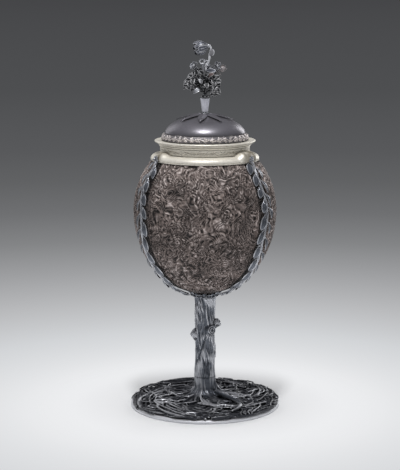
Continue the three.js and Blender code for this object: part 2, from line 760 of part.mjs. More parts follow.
function vineStrap(azimuth) {
  const top = Math.asin((lugHeight() - 2.6 - nutEquator) / NUT_UPPER);
  const bottom = -Math.acos((CALYX_RADIUS + FIT + TENDRIL_RADIUS) / NUT_RADIUS);
  const place = (s, sideways, offset) => {
    const angle = mix(top, bottom, s);
    const turn = THREE.MathUtils.radToDeg(sideways / nutMeridian(angle)[0]);
    return nutSurface(azimuth + turn, angle, offset);
  };
  const steps = 25;
  const stations = [];
  for (let i = 0; i <= steps; i += 1) {
    const s = i / steps;
    stations.push({
      at: place(s, strapSway(s), STRAP_OFFSET + STRAP_TOP_LIFT * (1 - Math.min(1, 12 * s))),
      up: nutNormal(azimuth, mix(top, bottom, s)),
      half: [TENDRIL_RADIUS, TENDRIL_RADIUS],
    });
  }
  const parts = [swept(stations, 4)];
  const length = NUT_RADIUS * (top - bottom);
  for (let k = 0; k < STRAP_LEAVES; k += 1) {
    const s = (k + 0.55) / (STRAP_LEAVES + 0.6);
    const side = k % 2 ? 1 : -1;
    const reach = s + STRAP_LEAF_LENGTH / length * (s > 0.85 ? 0.6 : 0.95);
    const start = place(s, strapSway(s), STRAP_OFFSET);
    const end = place(Math.min(reach, 0.985), strapSway(s) + side * STRAP_LEAF_SPREAD, STRAP_OFFSET + 0.2);
    parts.push(blade(start, end, nutNormal(azimuth, mix(top, bottom, s)), STRAP_LEAF_HALF_WIDTH, 0.05, 2));
  }
  parts.push(radialRod(azimuth, LUG_RADIUS, lugInner(), lugInner() + LUG_THICKNESS, lugHeight(), 14));
  return cut(join(parts), pinRod(azimuth, PIN_RADIUS + FIT, lugInner() - 1, lugInner() + LUG_THICKNESS + 1));
}

// Cover

function domeHeightAt(radius) {
  return DOME_HEIGHT * (1 - (radius / domeRadius) ** DOME_FULLNESS) ** (1 / DOME_FULLNESS);
}

function lidDome() {
  const steps = 7;
  const outer = [];
  const inner = [];
  const innerRadius = domeRadius - DOME_WALL;
  for (let i = 0; i <= steps; i += 1) {
    const angle = (Math.PI / 2) * (i / steps);
    const radius = Math.max(domeRadius * Math.cos(angle), finialBore);
    outer.push([radius, domeBottom + domeHeightAt(radius)]);
    const share = Math.max(innerRadius * Math.cos(angle), finialBore) / innerRadius;
    const drop = (DOME_HEIGHT - DOME_WALL) * (1 - share ** DOME_FULLNESS) ** (1 / DOME_FULLNESS);
    inner.unshift([share * innerRadius, domeBottom + drop]);
  }
  return turned([...outer, ...inner]);
}

function starLeaf(azimuth) {
  const start = BASE_RING_RADIUS + 0.8;
  const steps = 8;
  const widest = 0.38;
  const rootHalf = 1.05;
  const stations = [];
  for (let i = 0; i <= steps; i += 1) {
    const s = i / steps;
    const radius = mix(start, STAR_REACH, s);
    const slope = (domeHeightAt(radius + 0.05) - domeHeightAt(radius - 0.05)) / 0.1;
    const up = outward(azimuth).multiplyScalar(-slope).setZ(1).normalize();
    const taper = Math.cos((Math.PI / 2) * ((s - widest) / (1 - widest)));
    const half = s < widest ? mix(rootHalf, STAR_HALF_WIDTH, s / widest) : STAR_HALF_WIDTH * taper;
    const thickness = (STAR_THICKNESS / 2) * mix(1, 0.5, s);
    stations.push({
      at: around(radius, azimuth, domeBottom + domeHeightAt(radius))
        .addScaledVector(up, FIT + 0.1 + STAR_THICKNESS / 2),
      up,
      half: [Math.max(half, 0.15), thickness],
    });
  }
  return swept(stations, 4);
}

function lidFlange() {
  const middle = (flangeBottom + flangeTop) / 2;
  const edge = FLANGE_THICKNESS / 2;
  const profile = [[bezelInner, flangeTop], [bezelInner, flangeBottom]];
  for (let i = 0; i <= 3; i += 1) {
    const angle = -Math.PI / 2 + (Math.PI * i) / 3;
    profile.push([FLANGE_RADIUS - edge + edge * Math.cos(angle), middle + edge * Math.sin(angle)]);
  }
  return turned(profile);
}

function lidFrieze() {
  const lean = FRIEZE_LEAN;
  return turned([
    [FRIEZE_RADIUS - FRIEZE_WALL, friezeBottom], [FRIEZE_RADIUS, friezeBottom],
    [FRIEZE_RADIUS + 0.1, friezeBottom + FRIEZE_HEIGHT * 0.4],
    [FRIEZE_RADIUS - lean * 0.5, friezeBottom + FRIEZE_HEIGHT * 0.85],
    [FRIEZE_RADIUS - lean, friezeTop], [FRIEZE_RADIUS - lean - FRIEZE_WALL, friezeTop],
  ]);
}

// Finial

function coreShape(grow) {
  const geometry = new THREE.SphereGeometry(1, 14, 9).rotateX(Math.PI / 2);
  geometry.scale(CORE_RADIUS + grow, CORE_RADIUS + grow, CORE_HEIGHT / 2 + grow);
  return plain(geometry.translate(0, 0, coreMiddle));
}

function onCore(azimuth, height) {
  // A point just under the core's surface, height counted from its middle.
  const share = Math.sqrt(Math.max(0, 1 - (height / (CORE_HEIGHT / 2)) ** 2));
  return around(CORE_RADIUS * share * 0.9, azimuth, coreMiddle + height);
}

function aside(x, y, height) {
  // A place on the bouquet, height counted from the core's middle.
  return new THREE.Vector3(x, y, coreMiddle + height);
}

function trimmed(parts) {
  return cut(join(parts), coreShape(FIT));
}

function flower(root, head, facing, radius, petals) {
  const aim = facing.clone().normalize();
  const shape = new THREE.Shape();
  const corners = petals * 2;
  for (let i = 0; i < corners; i += 1) {
    const angle = (2 * Math.PI * i) / corners;
    const reach = i % 2 ? radius * 0.6 : radius;
    const point = [reach * Math.cos(angle), reach * Math.sin(angle)];
    if (i) shape.lineTo(...point);
    else shape.moveTo(...point);
  }
  shape.closePath();
  const petalsDepth = radius * 0.3;
  const disc = new THREE.ExtrudeGeometry(shape, { depth: petalsDepth, bevelEnabled: false });
  const eye = new THREE.SphereGeometry(radius * 0.36, 6, 4).translate(0, 0, petalsDepth);
  const turn = new THREE.Quaternion().setFromUnitVectors(UP, aim);
  const seated = [disc, eye].map((part) => plain(part.applyQuaternion(turn).translate(...head.toArray())));
  const middle = root.clone().lerp(head, 0.6).add(new THREE.Vector3(0, 0, 0.8));
  const end = head.clone().addScaledVector(aim, petalsDepth * 0.6);
  const side = new THREE.Vector3(0, 1, 0);
  return trimmed([stalk([root, middle, end], STALK_RADIUS, STALK_RADIUS * 0.8, side, 5), ...seated]);
}

function spray(points, leaves, leafLength, halfWidth, side) {
  // A curved twig with leaves on both sides and one at its tip.
  const curve = new THREE.CatmullRomCurve3(points);
  const parts = [stalk(points, STALK_RADIUS, STALK_RADIUS * 0.7, side, 6, 4)];
  for (let k = 0; k < leaves; k += 1) {
    const s = 0.18 + (0.78 * k) / (leaves - 1);
    const start = curve.getPoint(s);
    const along = curve.getTangent(s);
    const across = along.clone().cross(side).multiplyScalar(k % 2 ? 1 : -1);
    const lift = side.clone().multiplyScalar(0.35 * Math.sin(2.1 * k));
    const aim = along.multiplyScalar(k === leaves - 1 ? 1 : 0.62).add(across.multiplyScalar(0.75)).add(lift);
    const end = start.clone().addScaledVector(aim.normalize(), leafLength * (1 - 0.25 * s));
    parts.push(blade(start, end, side, halfWidth, 0.1, 2));
  }
  return trimmed(parts);
}

function singleLeaf(root, tip, up, halfWidth) {
  return trimmed([blade(root, tip, up, halfWidth, 0.14, 6)]);
}

function finialHolder() {
  const geometry = new THREE.CylinderGeometry(
    HOLDER_TOP_RADIUS, HOLDER_BOTTOM_RADIUS, HOLDER_HEIGHT, HOLDER_FACETS,
  );
  geometry.rotateX(Math.PI / 2).rotateZ(radians(-12)).translate(0, 0, (holderBottom + holderTop) / 2);
  return cut(plain(geometry), post(finialBore, holderBottom - 1, holderTop + 1, 12));
}

function bouquetCore() {
  return cut(coreShape(0), post(finialBore, coreBottom - 1, coreBottom + 5.5, 12));
}

function topStemPoints() {
  return [
    new THREE.Vector3(0.6, 0, coreTop - 0.5),
    new THREE.Vector3(0.4, 0.2, coreTop + 2.9),
    new THREE.Vector3(2.6, 0.2, coreTop + 5.9),
    new THREE.Vector3(3.4, 0, coreTop + 10.6),
    new THREE.Vector3(4.3, 0, coreTop + FLOWER_HEIGHT - 0.6),
    new THREE.Vector3(3.6, 0, coreTop + FLOWER_HEIGHT + 2.2),
  ];
}

function topStem() {
  const points = topStemPoints();
  const loopStart = points[3];
  const loop = [
    loopStart, loopStart.clone().add(new THREE.Vector3(2.6, -0.4, 0.6)),
    loopStart.clone().add(new THREE.Vector3(3.1, -0.5, 3.2)),
    loopStart.clone().add(new THREE.Vector3(1.6, -0.4, 4.6)),
  ];
  const side = new THREE.Vector3(0, 1, 0);
  return trimmed([
    stalk(points, TOP_STEM_RADIUS, TOP_STEM_RADIUS * 0.8, side, 16, 6),
    stalk(loop, STALK_RADIUS, STALK_RADIUS * 0.8, side, 7, 5),
  ]);
}

function topFlower() {
  // A nodding, ruffled bell that opens to the left and a little to the front.
  const throat = topStemPoints()[5].clone().add(new THREE.Vector3(-1.3, -0.2, -0.1));
  const aim = new THREE.Vector3(-1, -0.28, -0.1).normalize();
  const side = aim.clone().cross(UP).normalize();
  const up = side.clone().cross(aim);
  const length = 8.6;
  const petals = 6;
  const segments = 24;
  const loopAt = (along, radius, ruffle) => Array.from({ length: segments }, (_, j) => {
    const angle = (2 * Math.PI * j) / segments;
    const wave = Math.cos(petals * angle);
    const reach = radius * (1 + ruffle * wave);
    return throat.clone()
      .addScaledVector(aim, length * (along + 0.25 * ruffle * wave))
      .addScaledVector(side, reach * Math.cos(angle))
      .addScaledVector(up, reach * Math.sin(angle));
  });
  const outer = [[0, 1.1, 0], [0.3, 1.7, 0], [0.65, 3.1, 0.05], [0.9, 4.6, 0.12], [1, 5, 0.16]];
  const inner = [[0.93, 4.3, 0.14], [0.68, 2.4, 0.05], [0.42, 0.9, 0]];
  const loops = [...outer, ...inner].map(([along, radius, ruffle]) => loopAt(along, radius, ruffle));
  const ends = [loopAt(0, 0, 0), loopAt(0.4, 0, 0)];
  return wrapped([ends[0], ...loops, ends[1]]);
}

// Assembly: cup

add(cup, 'foot_rim', footRim(), oxidisedSilver());
add(cup, 'root_mat', rootMat(), oxidisedSilver());
add(cup, 'foot_bridge', ring(boltBore, RECESS_RADIUS - FIT, bridgeTop - BRIDGE_THICKNESS, bridgeTop, 16),
  oxidisedSilver());
add(cup, 'tie_nut', hexNut(TIE_NUT_RADIUS, boltBore, tieNutTop - TIE_NUT_HEIGHT, tieNutTop),
  oxidisedSilver());
add(cup, 'tie_bolt', tieBolt(), oxidisedSilver());
add(cup, 'trunk_stem', trunkStem(), oxidisedSilver());
add(cup, 'calyx_cup', calyxCup(), oxidisedSilver());
add(cup, 'coconut_shell', coconutShell(), coconut());
add(cup, 'bowl_rosette', bowlRosette(), giltSilver());
add(cup, 'collar_skirt', collarSkirt(), giltSilver());
add(cup, 'neck_band', ring(neckInner, NECK_RADIUS, neckBottom, neckTop), giltSilver());
add(cup, 'neck_bead', neckBead(), giltSilver());
add(cup, 'neck_liner', ring(linerInner, linerOuter, mouthZ - LINER_DROP, beadTop), giltSilver());
STRAP_AZIMUTHS.forEach((azimuth, k) => {
  add(cup, `vine_strap_${k + 1}`, vineStrap(azimuth), oxidisedSilver());
  add(cup, `strap_pin_${k + 1}`, strapPin(azimuth), oxidisedSilver());
});

// Assembly: cover

add(cover, 'lid_step', ring(bezelOuter + FIT, STEP_RADIUS, stepBottom, stepTop), giltSilver());
add(cover, 'lid_bezel', ring(bezelInner, bezelOuter, stepTop - BEZEL_HEIGHT, stepTop), giltSilver());
add(cover, 'lid_flange', lidFlange(), giltSilver());
add(cover, 'lid_frieze', lidFrieze(), polishedSilver());
add(cover, 'lid_dome', lidDome(), polishedSilver());
for (let k = 0; k < STAR_LEAVES; k += 1) {
  add(cover, `star_leaf_${k + 1}`, starLeaf(STAR_TURN + (360 / STAR_LEAVES) * k), polishedSilver());
}
const finialNutTop = domeTop - DOME_WALL - FIT - 0.2;
const finialBoltEnd = finialNutTop - FINIAL_NUT_HEIGHT - 0.6;
add(cover, 'finial_nut',
  hexNut(FINIAL_NUT_RADIUS, finialBore, finialNutTop - FINIAL_NUT_HEIGHT, finialNutTop), oxidisedSilver());
add(cover, 'finial_bolt', post(FINIAL_BOLT_RADIUS, finialBoltEnd, coreBottom + 5, 12), oxidisedSilver());
add(cover, 'finial_base_ring',
  ring(finialBore, BASE_RING_RADIUS, baseRingBottom, baseRingBottom + BASE_RING_HEIGHT, 20),
  polishedSilver());
add(cover, 'finial_holder', finialHolder(), polishedSilver());
add(cover, 'holder_collar', ring(
  finialBore, HOLDER_COLLAR_RADIUS, holderCollarBottom, holderCollarBottom + HOLDER_COLLAR_HEIGHT, 16,
), oxidisedSilver());
add(cover, 'bouquet_core', bouquetCore(), oxidisedSilver());
FLOWERS.forEach(({ name, root, head, facing, radius, petals, metal }) => {
  add(cover, name, flower(onCore(...root), aside(...head), direction(facing), radius, petals), metal());
});
SPRAYS.forEach(({ name, root, twig, leaves, size, facing }) => {
  const points = [onCore(...root), ...twig.map((point) => aside(...point))];
  add(cover, name, spray(points, leaves, ...size, direction(facing)), oxidisedSilver());
});
LEAVES.forEach(({ name, root, tip, facing, halfWidth, metal }) => {
  add(cover, name, singleLeaf(onCore(...root), aside(...tip), direction(facing), halfWidth), metal());
});
add(cover, 'top_stem', topStem(), polishedSilver());
add(cover, 'top_flower', cut(topFlower(), topStem()), polishedSilver());

const chalice = new THREE.Group();
chalice.add(cup, cover);
export default chalice;
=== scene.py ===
"""Surfaces of a coconut cup and cover: carved nut, silver mounts, trunk stem, root foot and bouquet."""
import math
import random

import bmesh
import bpy
import numpy as np
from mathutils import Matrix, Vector, noise


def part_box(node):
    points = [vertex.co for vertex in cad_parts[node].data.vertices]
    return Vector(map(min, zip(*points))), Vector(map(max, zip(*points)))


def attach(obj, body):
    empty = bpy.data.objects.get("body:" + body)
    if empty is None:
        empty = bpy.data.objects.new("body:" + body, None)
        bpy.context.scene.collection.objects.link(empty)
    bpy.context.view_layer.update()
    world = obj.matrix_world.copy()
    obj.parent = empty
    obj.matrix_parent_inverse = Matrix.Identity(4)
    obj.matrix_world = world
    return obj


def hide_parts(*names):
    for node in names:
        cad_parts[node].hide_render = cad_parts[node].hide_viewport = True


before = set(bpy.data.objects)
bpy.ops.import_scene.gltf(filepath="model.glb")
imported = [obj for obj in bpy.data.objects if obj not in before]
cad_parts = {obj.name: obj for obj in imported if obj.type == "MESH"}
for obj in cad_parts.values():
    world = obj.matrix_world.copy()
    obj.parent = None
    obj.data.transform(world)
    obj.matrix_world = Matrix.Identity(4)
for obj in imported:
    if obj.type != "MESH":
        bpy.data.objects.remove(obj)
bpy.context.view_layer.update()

bl_info = {
    "name": "Coconut cup and cover",
    "version": (1, 0, 0),
    "blender": (4, 5, 0),
    "location": "View3D > Sidebar > Cup",
    "description": "Builds the surfaces of a silver-mounted coconut cup round its frame",
    "category": "Add Mesh",
}

# Points and sizes below are in millimetres, and the scene is in metres.
MM = 0.001
TURN = 2 * math.pi
UP = np.array([0.0, 0.0, 1.0])
# Radii of the holes for the bolt through the cup and for the bolt through the finial.
TIE_BORE = 2.5
FINIAL_BORE = 1.3
# What the frame leaves between pieces that touch.
GAP = 0.3


def in_mm(settings, *names):
    """Lengths of a property group in millimetres."""
    return [getattr(settings, name) / MM for name in names]


def heights(node):
    """Lowest and highest z of a frame node."""
    low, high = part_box(node)
    return low.z / MM, high.z / MM


def reach(node):
    """How far a frame node stands out from the axis."""
    low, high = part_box(node)
    return max(high.x, high.y, -low.x, -low.y) / MM


def extent(node):
    """Lowest and highest z of a frame node, and how far it stands out."""
    return *heights(node), reach(node)


# Mesh helpers


def unit(vector):
    vector = np.asarray(vector, float)
    return vector / np.linalg.norm(vector, axis=-1, keepdims=True)


def outward(azimuth):
    """Level direction at an azimuth in radians: 0 is the front, positive to the right."""
    azimuth = np.asarray(azimuth, float)
    return np.stack([np.sin(azimuth), -np.cos(azimuth), np.zeros_like(azimuth)], -1)


def around(radius, azimuth, z):
    radius, azimuth, z = np.broadcast_arrays(*(np.asarray(a, float) for a in (radius, azimuth, z)))
    return np.stack([radius * np.sin(azimuth), -radius * np.cos(azimuth), z], -1)


def circle(count):
    """Azimuths of count points, evenly round the axis."""
    return np.arange(count) * TURN / count


def grid(rows, columns, round_rows=False, round_columns=False):
    """Quads over a grid of points that are listed row by row."""
    i = np.arange(rows if round_rows else rows - 1)
    j = np.arange(columns if round_columns else columns - 1)
    i, j = (a.ravel() for a in np.meshgrid(i, j, indexing="ij"))
    below, beside = (i + 1) % rows, (j + 1) % columns
    corners = [i * columns + j, i * columns + beside, below * columns + beside, below * columns + j]
    return np.stack(corners, 1)


class Skin:
    """Points, faces and a value for each point of its wear and, on some pieces, painted light and shade,
    gathered for one mesh.
    """

    def __init__(self):
        self.points, self.wear, self.quads, self.triangles = [], [], [], []
        self.count = 0

    def add(self, points, quads, triangles=None, wear=0.5):
        points = np.asarray(points, float).reshape(-1, 3)
        self.points.append(points)
        self.wear.append(np.broadcast_to(np.asarray(wear, float).ravel(), len(points)))
        self.quads.append(np.asarray(quads) + self.count)
        if triangles is not None:
            self.triangles.append(np.asarray(triangles) + self.count)
        self.count += len(points)

    def wrapped(self, loops, wear=0.5):
        """A closed skin over rings of points, with its two ends filled."""
        rows, columns = loops.shape[:2]
        points = np.concatenate([loops.reshape(-1, 3), loops[0].mean(0)[None], loops[-1].mean(0)[None]])
        j = np.arange(columns)
        k = (j + 1) % columns
        first, last = rows * columns, rows * columns + 1
        end = (rows - 1) * columns
        fans = np.concatenate([
            np.stack([np.full(columns, first), k, j], 1),
            np.stack([np.full(columns, last), end + j, end + k], 1),
        ])
        wear = np.broadcast_to(wear, (rows, columns)).ravel()
        wear = np.concatenate([wear, wear[:1], wear[-1:]])
        self.add(points, grid(rows, columns, round_columns=True), fans, wear)

    def mesh(self, name):
        faces = np.concatenate(self.quads).tolist()
        if self.triangles:
            faces += np.concatenate(self.triangles).tolist()
        made = bpy.data.meshes.new(name)
        made.from_pydata((np.concatenate(self.points) * MM).tolist(), [], faces)
        marks = made.attributes.new("wear", "FLOAT", "POINT")
        marks.data.foreach_set("value", np.concatenate(self.wear).astype(np.float32))
        work = bmesh.new()
        work.from_mesh(made)
        bmesh.ops.recalc_face_normals(work, faces=work.faces)
        work.to_mesh(made)
        work.free()
        return made

    def piece(self, name, material, crease=40):
        """The finished object, smooth but for edges sharper than crease degrees."""
        return finished(bpy.data.objects.new(name, self.mesh(name)), material, crease)

    def settled(self, name, finish, crease, body, slot, node):
        """The finished piece, in place of its frame node."""
        settle(self.piece(name, finish_for(finish), crease), body, slot, node)


def finished(piece, material, crease=40):
    bpy.context.scene.collection.objects.link(piece)
    piece.data.materials.append(material)
    piece.data.polygons.foreach_set("use_smooth", [True] * len(piece.data.polygons))
    piece.data.set_sharp_from_angle(angle=math.radians(crease))
    return piece


def settle(piece, body, slot, *nodes):
    """Puts a finished piece on its body, in place of the frame nodes that it stands for."""
    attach(piece, body)
    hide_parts(*nodes)


def fused(skin, name, voxel, softening, kept=1.0):
    """One closed casting from shapes that run into each other; kept is the share of its faces that stay."""
    rough = bpy.data.objects.new(name + "_rough", skin.mesh(name))
    bpy.context.scene.collection.objects.link(rough)
    remesh = rough.modifiers.new("fuse", "REMESH")
    remesh.mode = "VOXEL"
    remesh.voxel_size = voxel * MM
    smooth = rough.modifiers.new("soften", "SMOOTH")
    smooth.factor = 0.5
    smooth.iterations = softening
    if kept < 1:
        rough.modifiers.new("thin", "DECIMATE").ratio = kept
    graph = bpy.context.evaluated_depsgraph_get()
    mesh = bpy.data.meshes.new_from_object(rough.evaluated_get(graph))
    bpy.data.objects.remove(rough)
    mesh.name = name
    return mesh


def vertices(mesh):
    """A mesh's points and normals in millimetres."""
    points = np.empty(len(mesh.vertices) * 3)
    mesh.vertices.foreach_get("co", points)
    normals = np.array([vertex.normal for vertex in mesh.vertices], float)
    return points.reshape(-1, 3) / MM, normals


def place_vertices(mesh, points, wear):
    mesh.vertices.foreach_set("co", (points * MM).astype(np.float32).ravel())
    marks = mesh.attributes.get("wear") or mesh.attributes.new("wear", "FLOAT", "POINT")
    marks.data.foreach_set("value", np.asarray(wear, np.float32))
    mesh.update()


def add_mark(mesh, name, values):
    mesh.attributes.new(name, "FLOAT", "POINT").data.foreach_set("value", np.asarray(values, np.float32))


def ripple(points, scale, seed=0.0):
    """Smooth noise from -1 to 1 at points divided by scale, which may differ by axis."""
    spread = np.asarray(points, float) / scale + seed
    return np.array([noise.noise(Vector(p)) for p in spread.reshape(-1, 3)]).reshape(spread.shape[:-1])


def curve(points, steps):
    """A smooth line through points, in steps equal parts of its parameter."""
    points = np.asarray(points, float)
    padded = np.concatenate([[2 * points[0] - points[1]], points, [2 * points[-1] - points[-2]]])
    t = np.linspace(0, len(points) - 1, steps + 1)
    i = np.minimum(t.astype(int), len(points) - 2)
    f = (t - i)[:, None]
    a, b, c, d = padded[i], padded[i + 1], padded[i + 2], padded[i + 3]
    return 0.5 * (2 * b + (c - a) * f + (2 * a - 5 * b + 4 * c - d) * f**2 + (3 * b - a - 3 * c + d) * f**3)


def swept(skin, path, radii, sides=10, ridges=0, depth=0.1, twist=0.0, wear=0.5):
    """A tube with rounded ends along a path; ridges run along it and twist round it."""
    path = np.asarray(path, float)
    radii = np.broadcast_to(np.asarray(radii, float), len(path)).copy()
    tangent = unit(np.gradient(path, axis=0))
    ends = [(0.95, 0.35), (0.6, 0.78)]
    head = [(path[0] - tangent[0] * radii[0] * back, radii[0] * share) for back, share in ends]
    tail = [(path[-1] + tangent[-1] * radii[-1] * on, radii[-1] * share) for on, share in reversed(ends)]
    path = np.concatenate([[p for p, _ in head], path, [p for p, _ in tail]])
    radii = np.concatenate([[r for _, r in head], radii, [r for _, r in tail]])
    tangent = np.concatenate([tangent[:1]] * 2 + [tangent] + [tangent[-1:]] * 2)
    side = np.cross(tangent[0], UP if abs(tangent[0][2]) < 0.9 else np.array([0.0, 1.0, 0.0]))
    sides_of = []
    for direction in tangent:
        side = unit(side - direction * side.dot(direction))
        sides_of.append(side)
    across = np.array(sides_of)[:, None]
    over = np.cross(tangent, np.array(sides_of))[:, None]
    angle = circle(sides)
    along = np.linspace(0, 1, len(path))[:, None]
    swell = np.ones((len(path), sides))
    if ridges:
        swell = swell + depth * np.cos(ridges * angle + TURN * twist * along)
    ring = radii[:, None] * swell
    loops = path[:, None] + across * (ring * np.cos(angle))[..., None]
    loops = loops + over * (ring * np.sin(angle))[..., None]
    mark = wear + (0.5 * (swell - 1) / depth if ridges else 0)
    skin.wrapped(loops, mark)


def pointed(s):
    """Half width of a leaf along its length, as a share of the widest."""
    return np.sin(math.pi * s**0.8) ** 0.8


def lens(s):
    """Half width of a leaf that is widest at its middle."""
    return np.sin(math.pi * s) ** 0.75


def rounded(s):
    """Half width of a petal along its length, as a share of the widest."""
    return np.clip(s, 0, 1) ** 0.55 * np.sqrt(np.clip(1 - s**5, 0, 1))


def leaf(skin, start, tip, up, half_width, arch=0.1, fold=0.25, thickness=0.5, outline=pointed, teeth=0,
         curl=0.0, steps=14, across=9, wear=0.5):
    """A leaf or petal with a midrib, folded along it, that arches towards up."""
    start, tip = np.asarray(start, float), np.asarray(tip, float)
    length = np.linalg.norm(tip - start)
    s = np.linspace(0.015, 0.985, steps)
    middle = start + (tip - start) * s[:, None]
    middle = middle + unit(up) * (length * (arch * np.sin(math.pi * s) + curl * s**3))[:, None]
    along = unit(np.gradient(middle, axis=0))
    side = unit(np.cross(along, unit(up)))
    over = np.cross(side, along)
    half = half_width * np.maximum(outline(s), 0.06)
    if teeth:
        half = half * (1 - 0.22 * ((s * teeth) % 1.0))
    x = np.concatenate([np.linspace(-1, 1, across), np.linspace(1, -1, across)[1:-1]])
    face = np.concatenate([np.ones(across), -np.ones(across - 2)])
    body = np.sqrt(np.clip(1 - x**2, 0, 1)) * face * thickness / 2
    rib = np.exp(-((x / 0.14) ** 2)) * np.clip(face, 0, 1) * thickness * 0.45
    height = (body + rib) * np.sqrt(pointed(s))[:, None] + fold * half[:, None] * np.abs(x)
    loops = middle[:, None] + side[:, None] * (half[:, None] * x)[..., None]
    loops = loops + over[:, None] * height[..., None]
    mark = wear + 0.5 * np.abs(x) ** 4 + 0.2 * (rib > thickness * 0.2) - 0.15
    skin.wrapped(loops, mark)


def ball(skin, centre, radius, rows=8, columns=12, wear=0.6):
    angle = np.linspace(-0.48 * math.pi, 0.48 * math.pi, rows)
    loops = around((radius * np.cos(angle))[:, None], circle(columns),
                   (radius * np.sin(angle))[:, None])
    skin.wrapped(loops + np.asarray(centre, float), wear)


def eased(corners, radius, steps=4):
    """A closed outline of (radius, z) with each corner rounded; a corner may give its own radius third."""
    points = []
    count = len(corners)
    for i, corner in enumerate(corners):
        here = np.array(corner[:2], float)
        before, after = np.array(corners[i - 1][:2], float), np.array(corners[(i + 1) % count][:2], float)
        back, on = before - here, after - here
        room = min(np.linalg.norm(back), np.linalg.norm(on)) * 0.45
        cut = min(corner[2] if len(corner) > 2 else radius, room)
        a, b = here + unit(back) * cut, here + unit(on) * cut
        t = np.linspace(0, 1, steps + 1)[:, None]
        points.append(a * (1 - t) ** 2 + 2 * here * t * (1 - t) + b * t**2)
    return np.concatenate(points)


def turned(skin, profile, columns, push=0.0, wear=0.5):
    """A ring turned about the axis; push moves its points out along the profile's normal."""
    profile = np.asarray(profile, float)
    along = np.roll(profile, -1, 0) - np.roll(profile, 1, 0)
    normal = unit(np.stack([along[:, 1], -along[:, 0]], 1))
    azimuth = circle(columns)
    loops = around(profile[:, :1] + push * normal[:, :1], azimuth, profile[:, 1:] + push * normal[:, 1:])
    marks = np.broadcast_to(wear, (len(profile), columns))
    skin.add(loops, grid(len(profile), columns, True, True), wear=marks)


class Carving:
    """A height map round the axis, cut in strokes of a round-nosed tool."""

    def __init__(self, radius, arc, columns):
        self.radius, self.arc, self.columns = np.asarray(radius), np.asarray(arc), columns
        self.step = TURN / columns
        self.height = np.zeros((len(arc), columns))

    def radius_at(self, along):
        return float(np.interp(along, self.arc, self.radius))

    def dab(self, azimuth, along, size, height):
        rows = np.nonzero(np.abs(self.arc - along) < size)[0]
        if not len(rows):
            return
        local = max(self.radius[rows].mean(), 1.0)
        half = int(math.ceil(size / (local * self.step)))
        centre = azimuth / self.step
        columns = np.arange(math.floor(centre) - half, math.floor(centre) + half + 2)
        gap = ((columns - centre) * self.step * local) ** 2 + ((self.arc[rows] - along) ** 2)[:, None]
        value = height * np.sqrt(np.clip(1 - gap / size**2, 0, 1))
        place = np.ix_(rows, columns % self.columns)
        self.height[place] = np.maximum(self.height[place], value)

    def stroke(self, origin, points, sizes, depths):
        """Dabs along points in millimetres from an origin given as (azimuth, arc)."""
        local = self.radius_at(origin[1])
        sizes = np.broadcast_to(sizes, len(points))
        depths = np.broadcast_to(depths, len(points))
        for (x, y), size, depth in zip(points, sizes, depths):
            self.dab(origin[0] + x / local, origin[1] + y, size, depth)


def turned_points(points, angle, hand=1):
    """Flat points turned by an angle and, if hand is -1, mirrored."""
    points = np.asarray(points, float) * (hand, 1)
    c, s = math.cos(angle), math.sin(angle)
    return points @ np.array([[c, s], [-s, c]])


def lobe_points(length, bend, count=6):
    """A short curved leaf of a scroll, from its root to its tip."""
    t = np.linspace(0, 1, count)
    return np.stack([bend * length * t**2, length * t], 1)


def cut_scroll(carving, origin, radius, angle, hand, thick, height):
    """A spiral stem with an eye and leaves along its outside."""
    turns = 1.55
    count = int(radius * 13 / thick * 0.55)
    t = np.linspace(0, 1, count)
    coil = radius * (1 - 0.86 * t**0.9)
    spiral = np.stack([coil * np.cos(TURN * turns * t), coil * np.sin(TURN * turns * t)], 1)
    spiral = turned_points(spiral, angle, hand)
    carving.stroke(origin, spiral, thick * (1 - 0.45 * t), height * (0.75 + 0.25 * t))
    carving.stroke(origin, [spiral[-1] * 0.3], thick * 1.15, height)
    leaves = 7
    sizes = thick * np.array([0.6, 0.78, 0.8, 0.68, 0.5, 0.3])
    for k in range(leaves):
        i = int((0.04 + 0.52 * k / leaves) * count)
        direction = math.atan2(spiral[i][1], spiral[i][0])
        length = radius * (0.5 + 0.12 * math.sin(2.4 * k))
        for bend, share in ((0.55, 1.0), (-0.35, 0.7)):
            lobe = turned_points(lobe_points(length * share, bend), direction - math.pi / 2, hand)
            carving.stroke(origin, spiral[i] + lobe, sizes, height * 0.85)


def cut_spray(carving, origin, length, angle, thick, height):
    """A small branch of leaves."""
    t = np.linspace(0, 1, 9)
    stem = np.stack([0.18 * length * np.sin(3 * t), length * t], 1)
    carving.stroke(origin, turned_points(stem, angle), thick * (0.6 - 0.25 * t), height * 0.8)
    sizes = thick * np.array([0.4, 0.62, 0.7, 0.6, 0.42, 0.2])
    for k in range(7):
        root = stem[1 + k]
        side = 1 if k % 2 else -1
        lobe = turned_points(lobe_points(length * (0.42 - 0.03 * k), 0.3), -side * 0.9, side)
        carving.stroke(origin, turned_points(root + lobe, angle), sizes, height * 0.9)


# Materials


